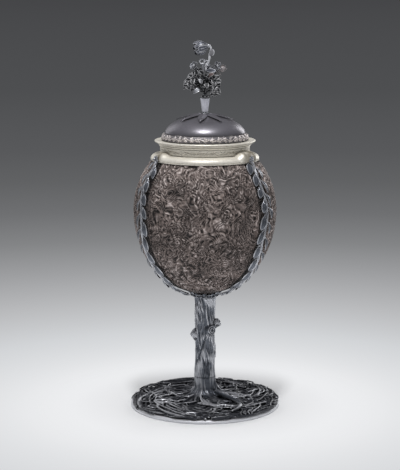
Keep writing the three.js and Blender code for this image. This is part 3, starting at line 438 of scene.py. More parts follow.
class Wire:
    """A value socket; sums written with it add Math nodes."""

    def __init__(self, paint, socket):
        self.paint, self.socket = paint, socket

    def maths(self, operation, *values):
        return self.paint.node("ShaderNodeMath", {"operation": operation}, dict(enumerate(values)))

    def __add__(self, other):
        return self.maths("ADD", self, other)

    def __radd__(self, other):
        return self.maths("ADD", other, self)

    def __sub__(self, other):
        return self.maths("SUBTRACT", self, other)

    def __rsub__(self, other):
        return self.maths("SUBTRACT", other, self)

    def __mul__(self, other):
        return self.maths("MULTIPLY", self, other)

    def __rmul__(self, other):
        return self.maths("MULTIPLY", other, self)

    def __truediv__(self, other):
        return self.maths("DIVIDE", self, other)

    def sine(self):
        return self.maths("SINE", self)

    def at_most(self, other):
        return self.maths("MINIMUM", self, other)

    def at_least(self, other):
        return self.maths("MAXIMUM", self, other)

    def between(self, low, high):
        """0 below low, 1 above high and smooth between them."""
        inputs = {"Value": self, "From Min": low, "From Max": high}
        return self.paint.node("ShaderNodeMapRange", {"interpolation_type": "SMOOTHSTEP"}, inputs)


class Paint:
    """A material or world and the nodes in it."""

    def __init__(self, tree, output):
        self.tree = tree
        tree.nodes.clear()
        self.output = tree.nodes.new(output)

    def node(self, kind, settings=None, inputs=None, output=0):
        made = self.tree.nodes.new(kind)
        for name, value in (settings or {}).items():
            if name == "stops":
                stops = made.color_ramp.elements
                while len(stops) < len(value):
                    stops.new(0.5)
                for stop, (place, colour) in zip(stops, value):
                    stop.position = place
                    stop.color = (*colour, 1.0)
            else:
                setattr(made, name, value)
        for name, value in (inputs or {}).items():
            self.join(made.inputs[name], value)
        return Wire(self, made.outputs[output])

    def join(self, socket, value):
        if isinstance(value, Wire):
            self.tree.links.new(value.socket, socket)
        elif isinstance(value, tuple) and len(value) == 3 and len(socket.default_value) == 4:
            socket.default_value = (*value, 1.0)
        else:
            socket.default_value = value

    def finish(self, shader):
        self.tree.links.new(shader.socket, self.output.inputs["Surface"])

    def noise(self, scale, detail=3.0, stretch=None):
        place = self.node("ShaderNodeTexCoord", output="Object")
        if stretch:
            place = self.node("ShaderNodeMapping", None, {"Vector": place, "Scale": stretch})
        return self.node("ShaderNodeTexNoise", None, {"Vector": place, "Scale": scale, "Detail": detail})

    def mix(self, share, first, second):
        """From the first colour to the second as share goes from 0 to 1."""
        return self.node("ShaderNodeMix", {"data_type": "RGBA"}, {0: share, 6: first, 7: second}, output=2)

    def mark(self, name):
        return self.node("ShaderNodeAttribute", {"attribute_name": name}, output="Fac")

    def wear(self):
        return self.mark("wear")

    def hollow(self, distance):
        """1 in the open and 0 deep in a hollow."""
        return self.node("ShaderNodeAmbientOcclusion", {"samples": 6}, {"Distance": distance}, output="AO")

    def edge(self):
        """Over a half on edges and crests."""
        return self.node("ShaderNodeNewGeometry", output="Pointiness")

    def seen(self):
        """1 for what the camera sees, straight, in a reflection or through glass."""
        straight, mirrored, through = (self.node("ShaderNodeLightPath", output=name) for name in (
            "Is Camera Ray", "Is Glossy Ray", "Is Transmission Ray"))
        return (straight + mirrored + through).at_most(1.0)

    def bump(self, height, distance, strength):
        inputs = {"Strength": strength, "Distance": distance, "Height": height}
        return self.node("ShaderNodeBump", None, inputs)


def material(name):
    made = bpy.data.materials.new(name)
    made.use_nodes = True
    return made, Paint(made.node_tree, "ShaderNodeOutputMaterial")


def cast_silver(name, finish, middle, bright, roughness, depth, metal, upper):
    """Cast silver, black in its hollows and bright on its edges; upper is its tone where the trunk begins."""
    made, paint = material(name)
    dark, middle, bright = (tuple(getattr(finish, tone)) for tone in ("silver_dark", middle, bright))
    open_to_light = paint.hollow(finish.hollow_reach).between(0.2, depth)
    patina = paint.noise(420.0, 5.0)
    if upper:
        middle = paint.mix(paint.mark("tone"), middle, tuple(getattr(finish, upper)))
    crests = paint.edge().between(0.505, 0.585) * (1 - paint.mark("joint"))
    # Rubbed crests and the point marks, which on the roots also hold painted light that lightens the front
    # and the left.
    rubbed_and_lit = (crests * 0.75 + paint.wear().between(0.5, 0.95) * 0.8).at_most(1.0)
    toned = paint.mix((open_to_light * (0.35 + 1.1 * patina)).at_most(1.0), dark, middle)
    colour = paint.mix((rubbed_and_lit * open_to_light * (0.3 + 1.1 * patina)).at_most(1.0), toned, bright)
    rough = roughness + 0.25 * (1 - open_to_light) + 0.14 * (patina - 0.5)
    grain = paint.noise(1500.0, 3.0) * 0.5 + patina
    paint.finish(paint.node("ShaderNodeBsdfPrincipled", None, {
        "Base Color": colour, "Metallic": metal, "Roughness": rough,
        "Normal": paint.bump(grain, 0.00012, 0.7),
    }))
    return made


def smooth_silver(name, finish, colour, tarnish, share, metal, roughness, scratches, film_and_shade_share):
    """Turned and polished silver or gilding with soft tarnish, painted shade in its hollows and fine
    scratches.
    """
    made, paint = material(name)
    colour, tarnish = tuple(getattr(finish, colour)), tuple(getattr(finish, tarnish))
    cloud = paint.noise(60.0, 4.0).between(0.38, 0.68)
    fleck = paint.noise(700.0, 4.0).between(0.45, 0.75)
    # Painted shade with tarnish: the deeper a hollow, the more of the film's colour it takes.
    hollow_film_and_shade = 1 - paint.hollow(finish.hollow_reach).between(0.15, 0.8)
    sunk = 1 - paint.wear().between(0.15, 0.5)
    dull = (share * (0.6 * cloud + 0.5 * fleck) + film_and_shade_share * hollow_film_and_shade + 0.8 * sunk).at_most(1.0)
    lines = paint.noise(300.0, 4.0, stretch=(1.0, 1.0, 14.0))
    paint.finish(paint.node("ShaderNodeBsdfPrincipled", None, {
        "Base Color": paint.mix(dull, colour, tarnish), "Metallic": metal,
        "Roughness": roughness + 0.18 * dull + 0.08 * lines,
        "Normal": paint.bump(lines * scratches + fleck * 0.4, 0.00005, 0.6),
    }))
    return made


def carved_nut(name, finish):
    """Carved coconut shell: dark ground, waxed brown body and pale rubbed crests, with the painted light and
    shade that the shell's marks hold.
    """
    made, paint = material(name)
    # The shell's marks: the carving's height, with painted light near the mouth and lower down, a painted
    # highlight on the strip borders and a painted shadow under the straps.
    height = paint.wear()
    mottle = paint.noise(60.0, 4.0)
    speckle = paint.noise(480.0, 3.0)
    curls = 0.5 + 0.5 * (paint.noise(66.0, 1.5) * 120.0).sine()
    open_to_light = paint.hollow(finish.hollow_reach).between(0.1, 0.75)
    raised = 0.74 * height + 0.34 * curls + 0.5 * (speckle - 0.5) - 0.04
    body = paint.mix(mottle.between(0.35, 0.65), tuple(finish.nut_dark), tuple(finish.nut))
    ground = paint.mix(open_to_light * raised.between(0.05, 0.5), tuple(finish.nut_ground), body)
    colour = paint.mix(open_to_light * raised.between(0.5, 1.0), ground, tuple(finish.nut_crest))
    fibres = paint.noise(1300.0, 4.0, stretch=(1.0, 1.0, 0.35))
    paint.finish(paint.node("ShaderNodeBsdfPrincipled", None, {
        "Base Color": colour, "Roughness": 0.38 + 0.22 * speckle + 0.12 * (1 - height),
        "Normal": paint.bump(curls * 1.8 + fibres * 0.6 + speckle * 0.6, 0.0003, 0.9),
    }))
    return made


FINISHES = {
    "oxidised": "oxidised_silver", "roots": "root_silver", "bouquet": "bouquet_silver", "dome": "dome_silver",
    "frieze": "frieze_silver", "gilt": "worn_gilding", "neck": "engraved_gilding", "blush": "blush_gilding",
    "nut": "carved_shell", "petal": "petal_silver", "bright": "bright_silver", "holder": "holder_silver",
}
CAST = {
    # finish: body, edges, roughness, how open a clean place is, metal, body where the trunk begins
    "oxidised": ("silver_grey", "silver_bright", 0.36, 0.8, 0.72, None),
    "roots": ("root_grey", "silver_bright", 0.36, 0.95, 0.72, "silver_grey"),
    "bouquet": ("bouquet_grey", "leaf_edge", 0.55, 0.9, 0.3, None),
    "blush": ("blush", "leaf_edge", 0.5, 0.8, 0.4, None),
    "petal": ("petal", "silver_bright", 0.45, 0.8, 0.5, None),
}
SMOOTH = {
    # finish: metal's colour, colour of film and painted shade, share of film, metal, roughness, scratches,
    # film and painted shade in the hollows
    "bright": ("silver_bright", "tarnish", 0.12, 0.4, 0.42, 0.5, 0.3),
    "holder": ("holder", "tarnish", 0.2, 0.3, 0.42, 0.6, 0.6),
    # On the dome the hollows beside the star leaves take a painted shadow.
    "dome": ("dome", "tarnish", 0.35, 0.8, 0.31, 0.3, 0.8),
    "frieze": ("frieze", "tarnish", 0.4, 0.6, 0.34, 0.5, 0.8),
    "gilt": ("gilt", "gilt_tarnish", 0.25, 0.42, 0.38, 0.5, 0.2),
    "neck": ("gilt", "gilt_tarnish", 0.35, 0.4, 0.4, 0.8, 0.35),
}


def make_finishes(finish):
    """The object's materials; each is made once."""
    for name, values in CAST.items():
        cast_silver(FINISHES[name], finish, *values)
    for name, values in SMOOTH.items():
        smooth_silver(FINISHES[name], finish, *values)
    carved_nut(FINISHES["nut"], finish)


def finish_for(name):
    """A finish that make_finishes made, found by its key."""
    if FINISHES[name] not in bpy.data.materials:
        make_finishes(bpy.context.scene.cup_finish)
    return bpy.data.materials[FINISHES[name]]


# Shapes that several pieces share


class NutForm:
    """The nut's outside: an ellipse round the axis that is deeper below its widest point."""

    def __init__(self, nut):
        self.radius, self.lower, self.upper, mouth = in_mm(nut, "radius", "lower", "upper", "mouth_radius")
        self.mouth = heights("coconut_shell")[1]
        rise = self.upper * math.sqrt(1 - (mouth / self.radius) ** 2)
        self.equator = self.mouth - rise
        self.top_angle = math.asin(rise / self.upper)

    def profile(self, angle, offset=0.0):
        """(radius, z) at an angle above the widest point, moved out by offset."""
        angle = np.asarray(angle, float)
        rise = np.where(angle > 0, self.upper, self.lower)
        normal = unit(np.stack([np.cos(angle) / self.radius, np.sin(angle) / rise], -1))
        flat = np.stack([self.radius * np.cos(angle), self.equator + rise * np.sin(angle)], -1)
        return flat + normal * np.asarray(offset)[..., None]

    def point(self, azimuth, angle, offset=0.0):
        flat = self.profile(angle, offset)
        return around(flat[..., 0], azimuth, flat[..., 1])

    def normal(self, azimuth, angle):
        return unit(self.point(azimuth, angle, 1.0) - self.point(azimuth, angle, 0.0))

    def radius_at(self, z):
        return self.radius * math.sqrt(1 - ((z - self.equator) / self.upper) ** 2)

    def bottom_at(self, radius):
        return self.equator - self.lower * np.sqrt(1 - (np.asarray(radius, float) / self.radius) ** 2)


def strap_azimuths():
    """Where the straps stand, read from their rivets."""
    middles = [(low + high) / 2 for low, high in (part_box(f"strap_pin_{k + 1}") for k in range(3))]
    return [math.atan2(middle.x, -middle.y) for middle in middles]


# Settings


def length(name, description, default):
    return bpy.props.FloatProperty(name=name, description=description, default=default * MM, unit="LENGTH",
                                   precision=5)


def angle(name, description, default):
    return bpy.props.FloatProperty(name=name, description=description, default=math.radians(default),
                                   subtype="ANGLE", unit="ROTATION")


def count(name, description, default):
    return bpy.props.IntProperty(name=name, description=description, default=default, min=0)


def colour(name, description, default):
    return bpy.props.FloatVectorProperty(name=name, description=description, default=default, size=3,
                                         subtype="COLOR", min=0.0, max=1.0)


class FootSettings(bpy.types.PropertyGroup):
    """Root foot"""
    low_bundles: count("Low bundles", "Bundles of roots under the others", 14)
    main_bundles: count("Main bundles", "Bundles that come down from the trunk", 12)
    cross_bundles: count("Cross bundles", "Bundles that cross the main ones", 7)
    rim_bundles: count("Rim bundles", "Bundles that run along the rim", 13)
    rootlets: count("Rootlets", "Fine roots on top", 34)
    root_radius: length("Root radius", "Of one root in a bundle", 1.05)
    casting_grain: length("Casting grain", "Size of the smallest form in the casting", 0.42)


class TrunkSettings(bpy.types.PropertyGroup):
    """Tree trunk"""
    radius: length("Radius", "Of the trunk between its ends", 7.1)
    flare_low: length("Flare at the foot", "How much the foot end widens", 0.7)
    flare_high: length("Flare at the top", "How much the top end widens", 1.1)
    bark_depth: length("Bark depth", "Of the creases", 0.8)


class NutSettings(bpy.types.PropertyGroup):
    """Coconut shell"""
    radius: length("Radius", "At the widest point", 53.0)
    lower: length("Lower half", "From the widest point to the bottom", 63.0)
    upper: length("Upper half axis", "Of the ellipse above the widest point", 56.0)
    mouth_radius: length("Mouth radius", "Of the sawn mouth's outer edge", 37.94)
    wall: length("Wall", "Thickness of the shell", 3.5)
    relief: length("Relief", "Height of the carving", 1.3)
    scroll_radius: length("Scroll radius", "Of the carved scrolls", 6.2)
    line_pitch: length("Line pitch", "Between the fine carved lines", 2.5)
    strip: length("Plain strip", "Half width of the uncarved strip under a strap", 7.4)


class StrapSettings(bpy.types.PropertyGroup):
    """Vine straps"""
    lift: length("Lift", "Stem over the nut", 1.7)
    stem_radius: length("Stem radius", "Of the winding stem", 1.0)
    sway: length("Sway", "Of the stem to each side", 1.3)
    leaves: count("Leaves", "On each strap", 22)
    leaf_length: length("Leaf length", "From root to tip", 9.8)
    leaf_half_width: length("Leaf half width", "At the middle of a leaf", 2.8)
    leaf_spread: length("Leaf spread", "How far a leaf's tip stands aside", 5.6)


class CollarSettings(bpy.types.PropertyGroup):
    """Collar, neck and cover rings"""
    engraving: length("Engraving", "Depth of the engraved lines", 0.2)
    frieze_relief: length("Frieze relief", "Height of the chased scrolls", 0.55)


class CoverSettings(bpy.types.PropertyGroup):
    """Dome and star"""
    dome_fullness: bpy.props.FloatProperty(name="Fullness", description="Roundness of the dome", default=1.85)
    star_turn: angle("Star turn", "Azimuth of the first leaf of the star", -10.0)
    star_reach: length("Star reach", "How far the leaves come down the dome", 21.5)
    star_half_width: length("Star half width", "Of a leaf", 3.4)


class FinialSettings(bpy.types.PropertyGroup):
    """Bouquet finial"""
    beads: count("Beads", "On the ring under the finial", 18)
    leaf_thickness: length("Leaf thickness", "Of the bouquet's leaves and petals", 0.42)


class FinishSettings(bpy.types.PropertyGroup):
    """Colours"""
    silver_dark: colour("Oxidised hollows", "Silver in the hollows", (0.01, 0.011, 0.014))
    silver_grey: colour("Oxidised silver", "Silver between hollows and edges", (0.15, 0.165, 0.195))
    root_grey: colour("Root silver", "Silver of the roots", (0.036, 0.038, 0.046))
    bouquet_grey: colour("Bouquet silver", "Silver of the finial's leaves", (0.018, 0.02, 0.024))
    leaf_edge: colour("Leaf edges", "Rubbed edges of the bouquet's leaves", (0.6, 0.6, 0.62))
    petal: colour("Petals", "Silver of the finial's flowers", (0.1, 0.108, 0.135))
    silver_bright: colour("Rubbed silver", "Silver on the edges", (0.72, 0.73, 0.77))
    holder: colour("Holder", "Silver of the finial's holder", (0.76, 0.77, 0.85))
    dome: colour("Dome", "Polished silver of the dome", (0.29, 0.28, 0.31))
    frieze: colour("Frieze", "Chased silver", (0.74, 0.68, 0.66))
    # Tarnish film, also painted as shade in the hollows of polished silver.
    tarnish: colour("Tarnish", "Grey film on polished silver", (0.14, 0.135, 0.15))
    gilt: colour("Gilding", "Pale worn gilding", (0.93, 0.89, 0.8))
    # Dull gilding, also painted as shade in the hollows of gilding.
    gilt_tarnish: colour("Dull gilding", "Gilding under tarnish", (0.2, 0.17, 0.12))
    blush: colour("Blush", "Rosy gilding of a bud", (0.2, 0.145, 0.14))
    nut: colour("Nut", "Waxed shell", (0.21, 0.165, 0.15))
    nut_dark: colour("Dark nut", "Darker clouds of the shell", (0.1, 0.077, 0.07))
    nut_ground: colour("Nut ground", "Bottom of the carving", (0.012, 0.009, 0.008))
    nut_crest: colour("Nut crests", "Rubbed crests of the carving", (0.62, 0.54, 0.52))
    hollow_reach: length("Hollow reach", "How wide a gap still counts as a hollow", 3.0)


class StageSettings(bpy.types.PropertyGroup):
    """Camera, floor and light"""
    camera_distance: length("Camera distance", "Level distance from the axis", 1147.0)
    camera_height: length("Camera height", "Over the floor", 322.4)
    camera_side: length("Camera side", "Right of the axis", -3.7)
    camera_pitch: angle("Camera pitch", "Below level", 9.5)
    lens: bpy.props.FloatProperty(name="Lens", description="Focal length", default=118.8, unit="CAMERA")
    floor_radius: length("Floor radius", "Of the round floor", 30000.0)
    floor: colour("Floor", "Pale floor", (0.845, 0.852, 0.868))
    top_power: bpy.props.FloatProperty(name="Top light", description="Power", default=3.8, unit="POWER")
    left_power: bpy.props.FloatProperty(name="Left light", description="Power", default=1.5, unit="POWER")
    right_power: bpy.props.FloatProperty(name="Right light", description="Power", default=2.5, unit="POWER")
    ambient: bpy.props.FloatProperty(name="Ambient", description="Even light from all round", default=0.57)


# Foot

WEB_HOLES = [
    # azimuth in degrees, radius, size of a gap between the roots
    (-83, 47, 3.4), (-122, 39, 2.6), (-38, 47, 2.6), (64, 47, 2.6), (128, 47, 3.4), (168, 39, 2.6),
    (-160, 47, 3.4), (24, 39, 2.6),
]


def mat_height(radius):
    """Height of the root mat's middle at a distance from the axis."""
    return np.interp(radius, [6, 7.4, 9, 11, 15, 22, 38, 48, 55], [12, 10, 8.5, 7.5, 6.7, 6.0, 5.4, 4.9, 4.0])


def add_bundle(skin, rng, path, strands, thick, steps=40):
    """Roots that run side by side along a path and twine a little."""
    path = np.asarray(path, float)
    side = unit(np.cross(UP, unit(np.gradient(path, axis=0))))
    s = np.linspace(0, 1, steps)
    phase = rng.uniform(0, TURN)
    for k in range(strands):
        gap = (k - (strands - 1) / 2) * 2.3 * thick * (0.5 + 0.8 * s)
        twine = TURN * (1.4 * s + k / strands) + phase
        size = thick * rng.uniform(0.75, 1.15) * (1 - 0.35 * s)
        size = size * (1 + 0.1 * np.sin(rng.uniform(9, 16) * s + k))
        aside, above = gap + 0.5 * thick * np.sin(twine), 0.5 * thick * np.cos(twine)
        points = path + side * aside[:, None] + UP * above[:, None]
        swept(skin, points, size, 8, ridges=3, twist=2)


def root_path(rng, start, end, azimuth, swing, lift, steps=40):
    """A line that winds from one radius to another over the mat."""
    s = np.linspace(0, 1, steps)
    radius = start + (end - start) * s**0.85
    waves, phase = rng.uniform(0.6, 1.5), rng.uniform(0, TURN)
    wander = 0.13 * np.sin(TURN * waves * s + phase) + 0.045 * np.sin(TURN * 3.1 * s + 2 * phase)
    turn = azimuth + swing * s**1.4 + wander * np.minimum(1, 3 * s)
    bob = 0.5 * np.sin(TURN * (waves + 0.6) * s + phase) * np.minimum(1, 2 * s)
    return around(radius, turn, mat_height(radius) + lift + bob)


def add_roots(skin, foot, edge):
    rng = random.Random(7)
    (thick,) = in_mm(foot, "root_radius")
    for k in range(foot.low_bundles):
        way = 1 if k % 4 else -1
        start, end = rng.uniform(14, 26), rng.uniform(47, edge - 1.2)
        azimuth = TURN * (k + rng.random()) / foot.low_bundles
        path = root_path(rng, start, end, azimuth, way * rng.uniform(0.8, 1.6), -0.8)
        add_bundle(skin, rng, path, 4, 1.1 * thick)
    for k in range(foot.main_bundles):
        azimuth = TURN * (k + rng.uniform(-0.2, 0.2)) / foot.main_bundles
        path = root_path(rng, 6.2, edge - rng.uniform(0.9, 1.8), azimuth, rng.uniform(0.9, 1.6), 0.5)
        add_bundle(skin, rng, path, 4, 1.15 * thick)
    for k in range(foot.cross_bundles):
        azimuth = TURN * (k + rng.uniform(-0.3, 0.3)) / foot.cross_bundles
        start, end = rng.uniform(12, 24), edge - rng.uniform(0.9, 4)
        path = root_path(rng, start, end, azimuth, -rng.uniform(0.6, 1.6), 0.8)
        add_bundle(skin, rng, path, rng.choice((3, 4)), 0.9 * thick)
    for k in range(foot.rim_bundles):
        azimuth, sweep = TURN * (k + rng.random()) / foot.rim_bundles, rng.uniform(0.6, 1.1)
        s = np.linspace(0, 1, 40)
        radius = np.minimum(rng.uniform(48, edge - 0.8) + 1.7 * np.sin(rng.uniform(4, 9) * s + k), edge - 1.0)
        z = mat_height(radius) + rng.uniform(-0.1, 0.8) + 0.5 * np.sin(9 * s + 2 * k)
        add_bundle(skin, rng, around(radius, azimuth + sweep * s, z), 3, 0.85 * thick)
    for k in range(foot.rootlets):
        start = rng.uniform(12, 36)
        path = root_path(rng, start, min(start + rng.uniform(16, 34), edge - 0.8), TURN * rng.random(),
                         rng.choice((-1, 1, 1)) * rng.uniform(0.4, 1.2), rng.uniform(1.7, 2.5), 30)
        swept(skin, path, np.linspace(0.7, 0.45, 30), 7)
    buttress = [(5.6, 0, 20), (8.2, 0, 12.5), (13, -2, 9.4), (20, -7, 7.6), (26, -16, 6.4), (29, -28, 5.4)]
    add_bundle(skin, rng, curve(buttress, 39), 3, 1.55 * thick)
    hook = [(9, -7, 11.5), (15, -14, 10.2), (21, -21, 9.4), (26, -30, 8.6), (25, -38, 7.6), (20, -43, 6.4)]
    swept(skin, curve(hook, 40), np.linspace(1.7, 0.9, 41), 10, ridges=3, twist=2)


def pierced_plate(skin, inner, outer, low, high, holes, rows=24, columns=90):
    """The casting's thin web between the roots: a flat ring with its hole cells left out."""
    radii = np.linspace(inner, outer, rows + 1)
    middle_radius = (radii[1:] + radii[:-1]) / 2
    middle_turn = (np.arange(columns) + 0.5) * TURN / columns
    cells = around(middle_radius[:, None], middle_turn, 0.0)
    kept = np.ones((rows, columns), bool)
    for azimuth, radius, size in holes:
        kept &= np.linalg.norm(cells - around(radius, math.radians(azimuth), 0.0), axis=-1) > size
    turn = circle(columns)
    levels = np.concatenate([around(radii[:, None], turn, z).reshape(-1, 3) for z in (low, high)])
    top = (rows + 1) * columns
    quads = []
    for i, j in zip(*np.nonzero(kept)):
        k = (j + 1) % columns
        a, b, c, d = i * columns + j, i * columns + k, (i + 1) * columns + k, (i + 1) * columns + j
        quads += [(a, b, c, d), (a + top, d + top, c + top, b + top)]
        beside = [(i - 1, j, a, b), (i, k, b, c), (i + 1, j, c, d), (i, j - 1, d, a)]
        quads += [(p, p + top, q + top, q) for row, column, p, q in beside
                  if row in (-1, rows) or not kept[row, column]]
    skin.add(levels, quads)


def add_knot(skin, place, size, thick):
    """A root that loops back over itself."""
    turn = np.linspace(0.2, TURN + 0.9, 26)
    x = place[0] + size[0] * np.cos(turn)
    y = place[1] + size[1] * np.sin(turn)
    swept(skin, np.stack([x, y, place[2] + 0.5 * turn / TURN], 1), thick, 8, ridges=3, twist=2)


class CupFoot(bpy.types.Operator):
    """Builds the rim and the tangle of roots"""
    bl_idname = "cup.foot"
    bl_label = "Foot"

    def execute(self, context):
        edge = reach("foot_rim")
        (bark_depth,) = in_mm(context.scene.cup_trunk, "bark_depth")
        self.rim(edge)
        self.roots(context.scene.cup_foot, edge, bark_depth)
        return {"FINISHED"}

    def rim(self, edge):
        """The flat ring that the cup stands on, bright where it shows beyond the roots."""
        low, high = heights("foot_rim")
        rim_width = 9.0
        corners = [(edge - rim_width, low, 0.3), (edge - 0.3, low, 1.2), (edge, high * 0.55, 0.9),
                   (edge - 1.6, high, 0.8), (edge - rim_width, high, 0.4)]
        rim = Skin()
        outline = eased(corners, 0.5)
        brightening = 0.1 + 0.85 * (outline[:, :1] > edge - 1.9) * (outline[:, 1:] < high + 0.2)
        turned(rim, outline, 240, wear=brightening)
        rim.settled("foot_rim_plate", "bright", 60, "cup", "dark_silver", "foot_rim")

    def roots(self, foot, edge, bark_depth):
        """The crown, the thin web and the roots, fused into one casting and marked where they are worn, with
        painted light that makes the front and the left lighter.
        """
        skin = Skin()
        crown = heights("root_mat")[1]
        recess = heights("foot_bridge")[1] + GAP
        hollow = 9.0
        turned(skin, [(TIE_BORE, crown), (TIE_BORE, recess), (hollow, recess), (hollow, 3.2), (20, 3.2),
                      (19, 4.6), (13, 5.8), (9.9, 7.8), (8.1, 10.5), (7.5, 14), (7.8, crown)], 48)
        pierced_plate(skin, 18.0, edge - 4.0, 3.15, 3.9, WEB_HOLES)
        add_roots(skin, foot, edge)
        add_knot(skin, (-31.0, -20.0, 7.2), (6.2, 3.8), 1.0)
        add_knot(skin, (24.0, -30.0, 6.2), (3.6, 4.8), 0.9)
        add_knot(skin, (8.0, 36.0, 6.2), (5.0, 3.6), 0.9)
        (grain,) = in_mm(foot, "casting_grain")
        mesh = fused(skin, "roots", grain, 1, 0.36)
        points, normals = vertices(mesh)
        streak = ripple(points, np.array([2.2, 2.2, 1.6]))
        far = np.hypot(points[:, 0], points[:, 1])
        trunk = np.clip((points[:, 2] - 8) / 3, 0, 1) * (far > 4.5)
        bark = bark_relief(points, heights("trunk_stem")[0])
        joint = np.clip((points[:, 2] - crown + 1.2) / 0.6, 0, 1)
        aim = unit(normals * np.array([1.0, 1.0, 1e-3]) ** joint[:, None] + 1e-6)
        push = 0.16 * streak * (1 - trunk) + bark_depth * trunk * bark * np.clip(far - 6, 0, 1)
        points += aim * push[:, None]
        far = np.hypot(points[:, 0], points[:, 1])
        points[:, :2] *= np.minimum(1, (edge - 0.2) / np.maximum(far, 1))[:, None]
        points[:, 2] = np.clip(points[:, 2], 0.3, crown)
        raised = points[:, 2] - mat_height(far)
        # Random rubbing, plus painted light: lighter towards the front and the left.
        rubbed_and_lit = 0.16 * ripple(points, 14.0, 2.2) - 0.0028 * points[:, 0]
        rubbed_and_lit -= 0.0018 * points[:, 1]
        mark = (1 - trunk) * (0.06 + 0.26 * raised + rubbed_and_lit) + trunk * (0.48 + 0.7 * bark)
        place_vertices(mesh, points, np.clip(mark, 0, 1))
        add_mark(mesh, "tone", trunk)
        add_mark(mesh, "joint", joint)
        roots = finished(bpy.data.objects.new("root_tangle", mesh), finish_for("roots"), 180)
        settle(roots, "cup", "dark_silver", "root_mat")


# Trunk

STUBS = [
    # azimuth in degrees, height over the trunk's foot, radius, reach from the axis, tilt in degrees
    (-86, 28, 3.3, 11.4, 34),
    (80, 36, 2.7, 13, 30),
    (36, 36, 3.3, 9.4, 4),
    (92, 17, 2.5, 8.2, 0),
]


def stub_axis(stub, foot_z):
    azimuth, height, radius, far, tilt = stub
    aim = outward(math.radians(azimuth)) * math.cos(math.radians(tilt)) + UP * math.sin(math.radians(tilt))
    return np.array([0, 0, foot_z + height]), aim, radius, far


def bark_relief(points, low):
    """How far the bark stands out at points of the trunk, from -1 to 1."""
    azimuth = np.arctan2(points[:, 0], -points[:, 1])
    z = points[:, 2]
    warp = azimuth + 0.012 * (z - low) + 0.1 * np.sin(z * 0.16)
    folded = np.stack([np.cos(warp) * 8, np.sin(warp) * 8, z], 1)
    creases = 1 - 3.2 * np.abs(ripple(folded, np.array([2.0, 2.0, 13.0])))
    fibres = ripple(folded, np.array([0.8, 0.8, 5.0]), 9.1)
    lumps = ripple(folded, np.array([7.0, 7.0, 11.0]), 4.3)
    return 0.55 * creases + 0.45 * fibres + 0.8 * lumps


def front_marks(points):
    """Grooves and the hollow on the trunk's front, as a depth in millimetres."""
    x, z = points[:, 0], points[:, 2]
    front = points[:, 1] < 0
    start, end = np.array([0.6, 54.0]), np.array([-5.6, 34.5])
    along = end - start
    share = np.clip(((x - start[0]) * along[0] + (z - start[1]) * along[1]) / along.dot(along), 0, 1)
    gap = np.hypot(x - start[0] - share * along[0], z - start[1] - share * along[1])
    groove = 1.0 * np.exp(-((gap / 0.7) ** 2))
    hollow = 1.7 * np.exp(-(((x - 1.6) / 2.0) ** 2) - ((z - 29.5) / 3.4) ** 2)
    return np.where(front, groove + hollow, 0)


class CupTrunk(bpy.types.Operator):
    """Builds the lopped tree trunk"""
    bl_idname = "cup.trunk"
    bl_label = "Trunk"

    def execute(self, context):
        trunk = context.scene.cup_trunk
        radius, flare_low, flare_high, depth = in_mm(trunk, "radius", "flare_low", "flare_high", "bark_depth")
        foot, high = heights("trunk_stem")
        low = heights("root_mat")[1] + 0.03
        z = np.linspace(low, high, 70)
        widths = radius + flare_low * np.exp(-(z - low) / 5) + flare_high * np.exp(-(high - z) / 4)
        skin = Skin()
        outside = np.stack([widths, z], 1)
        inside = np.stack([np.full(20, TIE_BORE), np.linspace(high, low, 20)], 1)
        turned(skin, np.concatenate([outside, inside]), 72)
        ends = []
        for stub in STUBS:
            root, aim, size, far = stub_axis(stub, foot)
            tip = root + aim * (far - 0.6)
            swept(skin, curve([root + aim * 3, (root + tip) / 2 + aim * 2, tip], 8),
                  size * np.array([1.25, 1.2, 1.12, 1.06, 1.0, 0.98, 0.98, 1.02, 1.04]), 20)
            swept(skin, [root + aim * (radius - 2.2), root + aim * (radius - 0.3)], size * 1.32, 20)
            ends.append((root, aim, size, far))
        swell = [(5.2, -0.6, 27), (5.9, -0.2, 24), (6.2, 0.2, 21), (5.8, 0.4, 17), (5.2, 0.6, 14)]
        swept(skin, curve([(x, y, foot + height) for x, y, height in swell], 20), 1.6, 14)
        mesh = fused(skin, "trunk", 0.3, 1)
        points, normals = vertices(mesh)
        outer = np.hypot(points[:, 0], points[:, 1]) > 4.5
        ends_fade = np.clip((high - points[:, 2]) / 1.2, 0, 1)
        joint = np.clip((low + 1.2 - points[:, 2]) / 0.6, 0, 1)
        relief = bark_relief(points, foot)
        sawn, ringed = np.zeros((2, len(points)))
        for root, aim, size, far in ends:
            along = (points - root) @ aim
            off = np.linalg.norm(points - root - along[:, None] * aim, axis=1)
            face = (along > far - 1.1) & (off < size * 1.15)
            rings = 0.3 * np.cos(TURN * off / 1.5) - 0.5 * np.exp(-((off / (0.3 * size)) ** 2))
            sawn = np.where(face, 1, sawn)
            ringed = np.where(face, rings, ringed)
            level = np.minimum(0, far - 0.35 - along) * 0.9
            points += aim * np.where(face, rings + level, 0)[:, None]
        push = depth * relief * ends_fade * (1 - sawn) - front_marks(points) * (1 - sawn)
        aim = unit(normals * np.array([1.0, 1.0, 1e-3]) ** joint[:, None] + 1e-6)
        push = push * np.clip(np.hypot(points[:, 0], points[:, 1]) - 6, 0, 1)
        points += aim * np.where(outer, push, 0)[:, None]
        points[:, 2] = np.clip(points[:, 2], low, high)
        share = (points[:, 2] - low) / (high - low)
        tone = 0.5 + 0.24 * np.clip(share - 0.5, 0, 1) + sawn * (0.2 + 1.2 * ringed)
        tone = tone + 0.7 * relief * (1 - sawn) - 0.4 * front_marks(points)
        place_vertices(mesh, points, np.clip(tone, 0, 1))
        add_mark(mesh, "joint", joint)
        stem = finished(bpy.data.objects.new("tree_trunk", mesh), finish_for("oxidised"), 180)
        settle(stem, "cup", "dark_silver", "trunk_stem")
        return {"FINISHED"}


# Calyx


